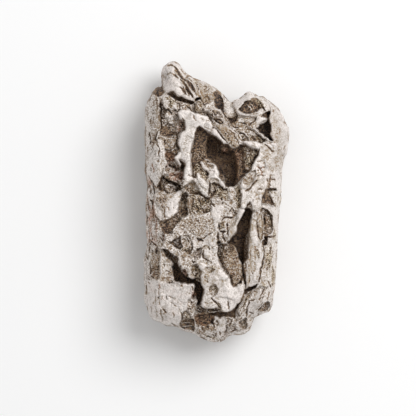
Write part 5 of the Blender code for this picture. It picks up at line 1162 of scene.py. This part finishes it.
def laySpot(front, mark):
    some = near(front, mark["points"], stone["spotReach"])
    away = outlineDistance(front["wx"][some], front["wy"][some], cutCorners(mark["points"]))
    cover = mark["amount"] * ease(0.5 - away / stone["spotBlur"])
    mixIn(front, some, mark["finish"], np.minimum(cover * (0.4 + 0.9 * front["patchy"][some]), 1))


def layStroke(front, mark):
    some = near(front, mark["points"], mark["width"] + stone["strokeReach"])
    away, along = routeDistance(front["wx"][some], front["wy"][some], mark["points"])
    ends = 0.55 + 0.45 * np.sin(math.pi * along) ** 0.6
    away = away / (mark["width"] * ends * (0.75 + 0.5 * front["patchy"][some]))
    strong = ease(1.25 + 1.4 * front["fray"][some])
    front["height"][some] += mark["height"] * strong * ease(1 - away)
    mixIn(front, some, mark["finish"], strong * ease(1.3 - 1.5 * away))


def addCrumbs(front):  # crumbs of their own lightness, on facets that tilt a little
    height, finish = front["height"], front["finish"]
    bent = flatPlaces(front["wx"], front["wy"])
    crumb = finish[:, atCrumbs]
    number, offset, edge = blocks(bent, stone["crumbSize"], salts["crumbs"], (3, 3, 1))
    height += stone["crumbHeight"] * crumb * (1.2 * number - 0.7 + 0.7 * ease(edge / 0.5))
    seam = 1 - ease(edge / stone["crumbSeam"])
    finish[:, atLight] += crumb * (0.36 * (number - 0.5) - 0.12 * seam)
    number, offset, edge = blocks(bent, stone["facetSize"], salts["facets"], (3, 3, 1))
    turn = 44 * number
    tilt = offset[:, 0] * np.cos(turn) + offset[:, 1] * np.sin(turn)
    height += stone["facetHeight"] * (0.8 + crumb) * tilt
    finish[:, atLight] += stone["facetLight"] * (number - 0.5)


def readFront(x, y, inset):  # height and finish of the front over each place
    front = newFront(x, y)
    for form in stone["ledges"]:
        layLedge(front, form)
    for mark in stone["spots"]:
        laySpot(front, mark)
    for mark in stone["lines"]:
        layStroke(front, mark)
    addCrumbs(front)
    height, finish = front["height"], front["finish"]
    # painted light: the outer rim is lightened to offset the shade on the rounded edge that slopes away
    # from the light
    rim = (1 - ease(inset / stone["rimReach"])) * (0.6 + 0.4 * front["patchy"])
    notDark = ease(1.8 * finish[:, atLight] - 0.2)  # dark places stay dark under the painted rim light
    finish[:, atLight] += stone["paintedRimLight"] * rim * notDark
    topOfBand = stone["seam"] + stone["seamBand"] / 2
    height = topOfBand + (height - topOfBand) * quarterRound(inset / stone["frontRound"])
    return height, finish


def readBack(x, y, inset):
    footOfBand = stone["seam"] - stone["seamBand"] / 2
    height = footOfBand + (stone["backLevel"] - footOfBand) * quarterRound(inset / stone["backRound"])
    for (cx, cy), (longHalf, shortHalf), turn in stone["rests"]:
        cosine, sine = math.cos(math.radians(turn)), math.sin(math.radians(turn))
        along = ((x - cx) * cosine + (y - cy) * sine) / longHalf
        across = ((y - cy) * cosine - (x - cx) * sine) / shortHalf
        height = height + (stone["restLevel"] - height) * ease(1.6 - np.hypot(along, across))
    return height


def placesOf(mesh):
    flat = np.empty(len(mesh.vertices) * 3)
    mesh.vertices.foreach_get("co", flat)
    return flat.reshape(-1, 3)


def normalsOf(mesh):
    flat = np.empty(len(mesh.vertices) * 3)
    mesh.vertex_normals.foreach_get("vector", flat)
    return flat.reshape(-1, 3)


def movePlaces(mesh, places):
    mesh.vertices.foreach_set("co", places.ravel())
    mesh.update()


def modified(mesh, kind, thin=None, **settings):  # the mesh after one modifier
    thing = bpy.data.objects.new("work", mesh)
    bpy.context.scene.collection.objects.link(thing)
    modifier = thing.modifiers.new("work", kind)
    for key, value in settings.items():
        setattr(modifier, key, value)
    if thin is not None:  # these places lose more triangles than the others
        group = thing.vertex_groups.new(name="thin")
        group.add(np.nonzero(thin)[0].tolist(), 1.0, "REPLACE")
        group.add(np.nonzero(~thin)[0].tolist(), 0.25, "REPLACE")
        modifier.vertex_group = "thin"
        modifier.vertex_group_factor = 0.002
    view = bpy.context.evaluated_depsgraph_get()
    result = bpy.data.meshes.new_from_object(thing.evaluated_get(view))
    bpy.data.objects.remove(thing)
    return result


def makeSlab(voxel):  # the outline, 2 mm thick
    shape = bmesh.new()
    corners = [shape.verts.new((x, y, -1)) for x, y in stone["outline"]]
    sheet = shape.faces.new(corners)
    raised = bmesh.ops.extrude_face_region(shape, geom=[sheet])["geom"]
    upper = [part for part in raised if isinstance(part, bmesh.types.BMVert)]
    bmesh.ops.translate(shape, vec=(0, 0, 2), verts=upper)
    bmesh.ops.recalc_face_normals(shape, faces=shape.faces)
    mesh = bpy.data.meshes.new("slab")
    shape.to_mesh(mesh)
    shape.free()
    return modified(mesh, "REMESH", mode="VOXEL", voxel_size=voxel)


def pushIntoShape(mesh):  # the slab's upper side goes up to the front, the lower down to the back
    places = placesOf(mesh)
    x, y, level = places.T
    inset = insetOf(places)
    share = np.clip(level, -1, 1)
    front, _ = readFront(x, y, inset)
    back = readBack(x, y, inset)
    middle = stone["seam"] + share * stone["seamBand"] / 2
    up, down = ease(2 * share - 1), ease(-2 * share - 1)
    places[:, 2] = middle + (front - middle) * up + (back - middle) * down
    movePlaces(mesh, places)


def sideBlocks(places):  # each place's block, its plates' direction, seams, grooves and hollows
    number, _, edge = blocks(places, stone["blockSize"], stone["seed"])
    normals = np.array(stone["lamellaNormals"])
    direction = normals[(number * len(normals)).astype(int) % len(normals)]
    bend = 0.25 * softNoise(places, 2.6, salts["bend"])
    phase = (places * direction).sum(axis=1) / stone["lamellaPitch"] + 7 * number + bend
    groove = 1 - ease(2.6 * np.abs(phase - np.round(phase)))
    hollow = np.zeros(len(places))
    for centre, radius, depth in stone["sideHollows"]:
        reach = np.linalg.norm(places - np.array(centre), axis=1) / radius
        hollow = np.maximum(hollow, depth * ease(1.2 - reach))
    return number, direction, 1 - ease(edge / 0.16), ease(edge / 0.25), groove, hollow


def breakUp(mesh):  # blocks, plates and hollows of the sides and back
    places, normals = placesOf(mesh), normalsOf(mesh)
    number, _, seam, inside, groove, hollow = sideBlocks(places)
    resting = ease((places[:, 2] - 0.1) / 0.8)
    awayFromFront = 1 - ease((places[:, 2] - 10.5) / 3.5)
    offSeam = 0.2 + 0.8 * ease(np.abs(places[:, 2] - stone["seam"]) / 3.2)
    move = stone["blockStep"] * (number * 7 % 1 - 0.55) * inside
    move -= stone["lamellaDepth"] * groove + stone["blockSeam"] * seam
    move += 0.25 * softNoise(places, 2.4, stone["seed"])
    move = move * awayFromFront * resting - hollow * resting
    movePlaces(mesh, places + normals * (move * offSeam)[:, None])


def frontShare(places):  # 1 on the front, 0 on the sides and back
    inner = (insetOf(places) > 1.2) & (places[:, 2] > 7.6)
    return np.maximum(ease((places[:, 2] - 8.6) / 2.2), inner * 1.0)


def streakPlaces(along, across, places):  # long steps along the streaks, short ones across them
    return np.stack([along / 1.5, across / 0.28, places[:, 2] / 1.2], axis=1)


def readSides(places):  # finish of the sides and back, and the place along their plates
    number, normal, seam, _, groove, hollow = sideBlocks(places)
    normal = normal / np.linalg.norm(normal, axis=1)[:, None]
    mottle = softNoise(places, 2.2, salts["sideMottle"])
    mottle = mottle + 0.8 * softNoise(places, 0.8, salts["sideGrain"])
    rough = ease(0.5 + 1.6 * (number * 5 % 1 - 0.45) + 0.7 * mottle)  # 0 on smooth plates
    pocket = np.minimum(hollow * 1.4, 1)
    light = 0.86 - 0.22 * rough + 0.08 * mottle - 0.30 * seam - 0.26 * groove - 0.40 * pocket
    rusty = ease(softNoise(places, 3.0, salts["sideRust"]))
    red = 0.5 * rusty - 0.45 * rough * ease(-mottle) - 0.3 * pocket
    grain = 0.12 + 0.45 * np.maximum(rough, pocket)
    finish = np.stack([light, red, grain, 0.1 + 0.4 * rough, 0.7 - 0.4 * rough], axis=1)
    along = np.cross(normal, np.array([0.0, 0.0, 1.0]))
    return finish, streakPlaces((places * along).sum(axis=1), (places * normal).sum(axis=1), places)


def readFinish(places):  # height, finish, place along the streaks and share of the front
    x, y = places[:, 0], places[:, 1]
    height, finish = readFront(x, y, insetOf(places))
    share = frontShare(places)[:, None]
    side, sideStreak = readSides(places)
    turnX, turnY = finish[:, atTurnX], finish[:, atTurnY]
    frontStreak = streakPlaces(x * turnX + y * turnY, y * turnX - x * turnY, places)
    blend = side + (finish[:, :5] - side) * share
    return height, blend, np.where(share > 0.5, frontStreak, sideStreak), share[:, 0]


def carve(mesh):  # brings the steps back that even faces have softened, then adds grains
    places = placesOf(mesh)
    height, finish, streak, share = readFinish(places)
    places[:, 2] += share * np.clip(height - places[:, 2], -0.3, 0.3)
    movePlaces(mesh, places)
    normals = normalsOf(mesh)
    grain = finish[:, atGrain]
    move = (0.01 + 0.07 * grain) * softNoise(places, 0.7, salts["grains"])
    move += (0.005 + 0.05 * grain) * softNoise(places, 0.36, salts["grains"] + 1)
    move += 0.07 * softNoise(places, 1.9, salts["grains"] + 2)
    move += 0.09 * finish[:, atStreak] * softNoise(streak, 1.0, salts["streaks"])
    move *= ease((places[:, 2] - 0.05) / 0.5)
    movePlaces(mesh, places + normals * move[:, None])


def smoothed(values, mesh, times):
    ends = np.empty(len(mesh.edges) * 2, dtype=np.int64)
    mesh.edges.foreach_get("vertices", ends)
    a, b = ends[::2], ends[1::2]
    count = np.bincount(a, minlength=len(values)) + np.bincount(b, minlength=len(values))
    for _ in range(times):
        total = np.stack([
            np.bincount(a, values[b, k], len(values)) + np.bincount(b, values[a, k], len(values))
            for k in range(values.shape[1])], axis=1)
        values = 0.5 * values + 0.5 * total / count[:, None]
    return values


def addAttribute(mesh, name, values):
    made = mesh.attributes.new(name, "FLOAT", "POINT")
    made.data.foreach_set("value", np.asarray(values, dtype=np.float32))


def writeFinish(mesh):  # stores how light, rusty and grainy each place is
    places, normals = placesOf(mesh), normalsOf(mesh)
    _, finish, streak, _ = readFinish(places)
    light = finish[:, atLight]
    fine = ((places - smoothed(places, mesh, 4)) * normals).sum(axis=1)
    broad = ((places - smoothed(places, mesh, 24)) * normals).sum(axis=1)
    # lighter on ridges and edges, darker in creases and hollows: partly wear, partly painted shade
    wearAndCreaseShade = np.clip(fine / 0.04, -1, 1) * 0.12 + np.clip(broad / 0.2, -1, 1) * 0.08
    addAttribute(mesh, "tone", np.clip(light + wearAndCreaseShade * (0.3 + 0.7 * light), 0, 1))
    addAttribute(mesh, "rust", finish[:, atRed])
    addAttribute(mesh, "grain", finish[:, atGrain])
    addAttribute(mesh, "streak", finish[:, atStreak])
    made = mesh.attributes.new("streakPlace", "FLOAT_VECTOR", "POINT")
    made.data.foreach_set("vector", streak.astype(np.float32).ravel())


class Socket:
    def __init__(self, tree, output):
        self.tree, self.output = tree, output

    def node(self, kind, settings=None, **inputs):
        made = self.tree.nodes.new(kind)
        for key, value in (settings or {}).items():
            if key == "stops":
                ramp = made.color_ramp
                while len(ramp.elements) < len(value):
                    ramp.elements.new(0.5)
                for element, (place, colour) in zip(ramp.elements, value):
                    element.position = place
                    element.color = colour
            else:
                setattr(made, key, value)
        for key, value in inputs.items():  # an input's name, or i and its number
            found = int(key[1:]) if key[1:].isdigit() else key.replace("_", " ")
            socket = made.inputs[found]
            if isinstance(value, Socket):
                self.tree.links.new(value.output, socket)
            else:
                socket.default_value = value
        return made

    def maths(self, operation, a, b):
        made = self.node("ShaderNodeMath", {"operation": operation}, i0=a, i1=b)
        return Socket(self.tree, made.outputs[0])

    def multiplied(self, share, colour):  # this colour, darkened towards another
        made = self.node("ShaderNodeMix", {"data_type": "RGBA", "blend_type": "MULTIPLY",
                                           "clamp_factor": True}, i0=share, i6=self, i7=colour)
        return Socket(self.tree, made.outputs[2])

    def __add__(self, other):
        return self.maths("ADD", self, other)

    def __radd__(self, other):
        return self.maths("ADD", other, self)

    def __sub__(self, other):
        return self.maths("SUBTRACT", self, other)

    def __rsub__(self, other):
        return self.maths("SUBTRACT", other, self)

    def __mul__(self, other):
        return self.maths("MULTIPLY", self, other)

    def __rmul__(self, other):
        return self.maths("MULTIPLY", other, self)


def srgb(red, green, blue):
    def linear(value):
        value = value / 255
        return value / 12.92 if value <= 0.04045 else ((value + 0.055) / 1.055) ** 2.4
    return (linear(red), linear(green), linear(blue), 1.0)


iron = dict(
    stops=[(0.00, srgb(42, 34, 31)), (0.104, srgb(99, 81, 70)), (0.16, srgb(119, 96, 76)),
           (0.256, srgb(137, 110, 82)), (0.384, srgb(153, 131, 104)), (0.512, srgb(171, 159, 145)),
           (0.656, srgb(195, 187, 181)), (0.80, srgb(221, 213, 208)), (1.00, srgb(238, 231, 225))],
    reach=0.8,  # how much of the ramp a full tone reaches
    red=(1.0, 0.70, 0.58, 1), olive=(1.0, 0.91, 0.66, 1),
    speckle=1.25, plainSpeckle=0.06, speckleSizes=(0.22, 0.31), speckleEdges=(0.40, 0.60),
    darkFlecks=0.72, darkSize=0.33, lightFlecks=0.38, lightSize=0.30, fleckEdges=(0.60, 0.66),
    cloud=0.15, cloudSize=1.8, redSize=0.9, oliveSize=1.2,
    streaks=0.70, plainStreaks=0.05, darkStreaks=0.25, streakEdges=(0.56, 0.70),
    roughness=0.76, polish=0.26, grainRoughness=0.1, metal=0.25,
    relief=0.9, reliefSize=0.7, reliefDepth=0.16,
)


def ironMaterial():
    material = bpy.data.materials.new("weathered iron")
    material.use_nodes = True
    tree = material.node_tree
    shader = tree.nodes["Principled BSDF"]
    start = Socket(tree, None)
    where = Socket(tree, start.node("ShaderNodeTexCoord").outputs["Object"])

    def attribute(name, output="Fac"):
        made = start.node("ShaderNodeAttribute", {"attribute_name": name})
        return Socket(tree, made.outputs[output])

    def noise(size, detail=2.0):
        made = start.node("ShaderNodeTexNoise", {}, Vector=where, Scale=1 / (size * mm), Detail=detail)
        return Socket(tree, made.outputs["Fac"])

    def stepped(value, edges):
        made = start.node("ShaderNodeMapRange", {"interpolation_type": "SMOOTHSTEP"}, Value=value,
                          From_Min=edges[0], From_Max=edges[1])
        return Socket(tree, made.outputs["Result"])

    def feed(value, name):
        tree.links.new(value.output, shader.inputs[name])

    tone, rust = attribute("tone"), attribute("rust")
    grain, streak = attribute("grain"), attribute("streak")
    drawn = start.node("ShaderNodeTexNoise", {}, Vector=attribute("streakPlace", "Vector"), Scale=1.0,
                       Detail=2.0)
    lines = Socket(tree, drawn.outputs["Fac"])
    small, larger = iron["speckleSizes"]
    fine = 0.5 * stepped(noise(small, 0.0), iron["speckleEdges"])
    fine = fine + 0.5 * stepped(noise(larger, 0.0), iron["speckleEdges"])
    darkFlecks = stepped(noise(iron["darkSize"], 0.0), iron["fleckEdges"]) * grain
    lightFlecks = stepped(noise(iron["lightSize"], 0.0), iron["fleckEdges"]) * grain
    light = tone + (fine - 0.5) * (grain * iron["speckle"] + iron["plainSpeckle"])
    light = light + (noise(iron["cloudSize"], 4.0) - 0.5) * iron["cloud"]
    light = light + (lines - 0.5) * (streak * iron["streaks"] + iron["plainStreaks"])
    light = light - darkFlecks * iron["darkFlecks"] + lightFlecks * iron["lightFlecks"]
    light = light - stepped(lines, iron["streakEdges"]) * streak * iron["darkStreaks"]
    ramp = start.node("ShaderNodeValToRGB", {"stops": iron["stops"]}, Fac=light * iron["reach"])
    redness = rust + (noise(iron["redSize"]) - 0.55) * 0.5
    oliveness = 0 - rust + (noise(iron["oliveSize"]) - 0.6) * 0.3
    colour = Socket(tree, ramp.outputs[0]).multiplied(redness, iron["red"])
    feed(colour.multiplied(oliveness, iron["olive"]), "Base Color")
    feed(iron["roughness"] - tone * iron["polish"] + grain * iron["grainRoughness"], "Roughness")
    feed(tone * iron["metal"], "Metallic")
    relief = fine * grain + noise(iron["reliefSize"]) * 0.3 + lines * streak * 0.7 - darkFlecks * 0.5
    bump = start.node("ShaderNodeBump", {}, Height=relief, Strength=iron["relief"],
                      Distance=iron["reliefDepth"] * mm)
    feed(Socket(tree, bump.outputs[0]), "Normal")
    return material


def countTriangles(mesh):
    return sum(len(face.vertices) - 2 for face in mesh.polygons)


def makeStone():
    voxel = stone["voxel"]
    print("slab")
    mesh = makeSlab(voxel * 1.1)
    pushIntoShape(mesh)
    print("even faces", len(mesh.vertices))
    mesh = modified(mesh, "REMESH", mode="VOXEL", voxel_size=voxel)
    breakUp(mesh)
    print("grains", len(mesh.vertices))
    carve(mesh)
    triangles = countTriangles(mesh)
    if triangles > stone["triangles"]:
        thin = frontShare(placesOf(mesh)) < 0.5
        mesh = modified(mesh, "DECIMATE", thin, ratio=stone["triangles"] / triangles)
    print("finish", len(mesh.vertices), countTriangles(mesh))
    places = placesOf(mesh)
    places[:, 2] = np.maximum(places[:, 2], 0)
    movePlaces(mesh, places)
    writeFinish(mesh)
    middle = (places.min(axis=0) + places.max(axis=0)) / 2
    places[:, :2] -= middle[:2]
    movePlaces(mesh, places * mm)
    mesh.name = "stone"
    mesh.materials.clear()
    mesh.materials.append(ironMaterial())
    mesh.shade_smooth()
    piece = bpy.data.objects.new("stone", mesh)
    bpy.context.scene.collection.objects.link(piece)
    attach(piece, "root")
    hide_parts("meteorite")


studio = dict(  # in metres and watts
    cameraHeight=0.60, frameWidth=0.0832, lookAt=(-0.0017, -0.0013), frontLevel=0.010, sensor=36,
    keyPlace=(0.24, 0.20, 0.42), keyAim=(0, 0, 0.01), keySize=0.36, keyPower=1.9,
    world=0.57, floorSize=1.6, floorTone=0.93, floorRoughness=0.9,
)


def makeFloor():
    shape = bmesh.new()
    bmesh.ops.create_grid(shape, x_segments=1, y_segments=1, size=studio["floorSize"] / 2)
    mesh = bpy.data.meshes.new("floor")
    shape.to_mesh(mesh)
    shape.free()
    floor = bpy.data.objects.new("floor", mesh)
    bpy.context.scene.collection.objects.link(floor)
    material = bpy.data.materials.new("paper")
    material.use_nodes = True
    shader = material.node_tree.nodes["Principled BSDF"]
    shader.inputs["Base Color"].default_value = (*[studio["floorTone"]] * 3, 1)
    shader.inputs["Roughness"].default_value = studio["floorRoughness"]
    mesh.materials.append(material)


def makeLights():
    key = bpy.data.lights.new("key", "AREA")
    key.shape = "DISK"
    key.size = studio["keySize"]
    key.energy = studio["keyPower"]
    lamp = bpy.data.objects.new("key", key)
    lamp.location = studio["keyPlace"]
    towards = Vector(studio["keyAim"]) - Vector(studio["keyPlace"])
    lamp.rotation_euler = towards.to_track_quat("-Z", "Y").to_euler()
    bpy.context.scene.collection.objects.link(lamp)
    world = bpy.data.worlds.new("studio")
    world.use_nodes = True
    background = world.node_tree.nodes["Background"]
    background.inputs["Color"].default_value = (1, 1, 1, 1)
    background.inputs["Strength"].default_value = studio["world"]
    bpy.context.scene.world = world
    bpy.context.scene.view_settings.view_transform = "Standard"


def makeCamera():
    lens = bpy.data.cameras.new("camera")
    lens.sensor_width = studio["sensor"]
    distance = studio["cameraHeight"] - studio["frontLevel"]
    lens.lens = studio["sensor"] * distance / studio["frameWidth"]
    lens.clip_start = 0.01
    camera = bpy.data.objects.new("camera", lens)
    camera.location = (*studio["lookAt"], studio["cameraHeight"])
    bpy.context.scene.collection.objects.link(camera)
    bpy.context.scene.camera = camera


print("camera, lights and floor")
makeCamera()
makeLights()
makeFloor()
makeStone()
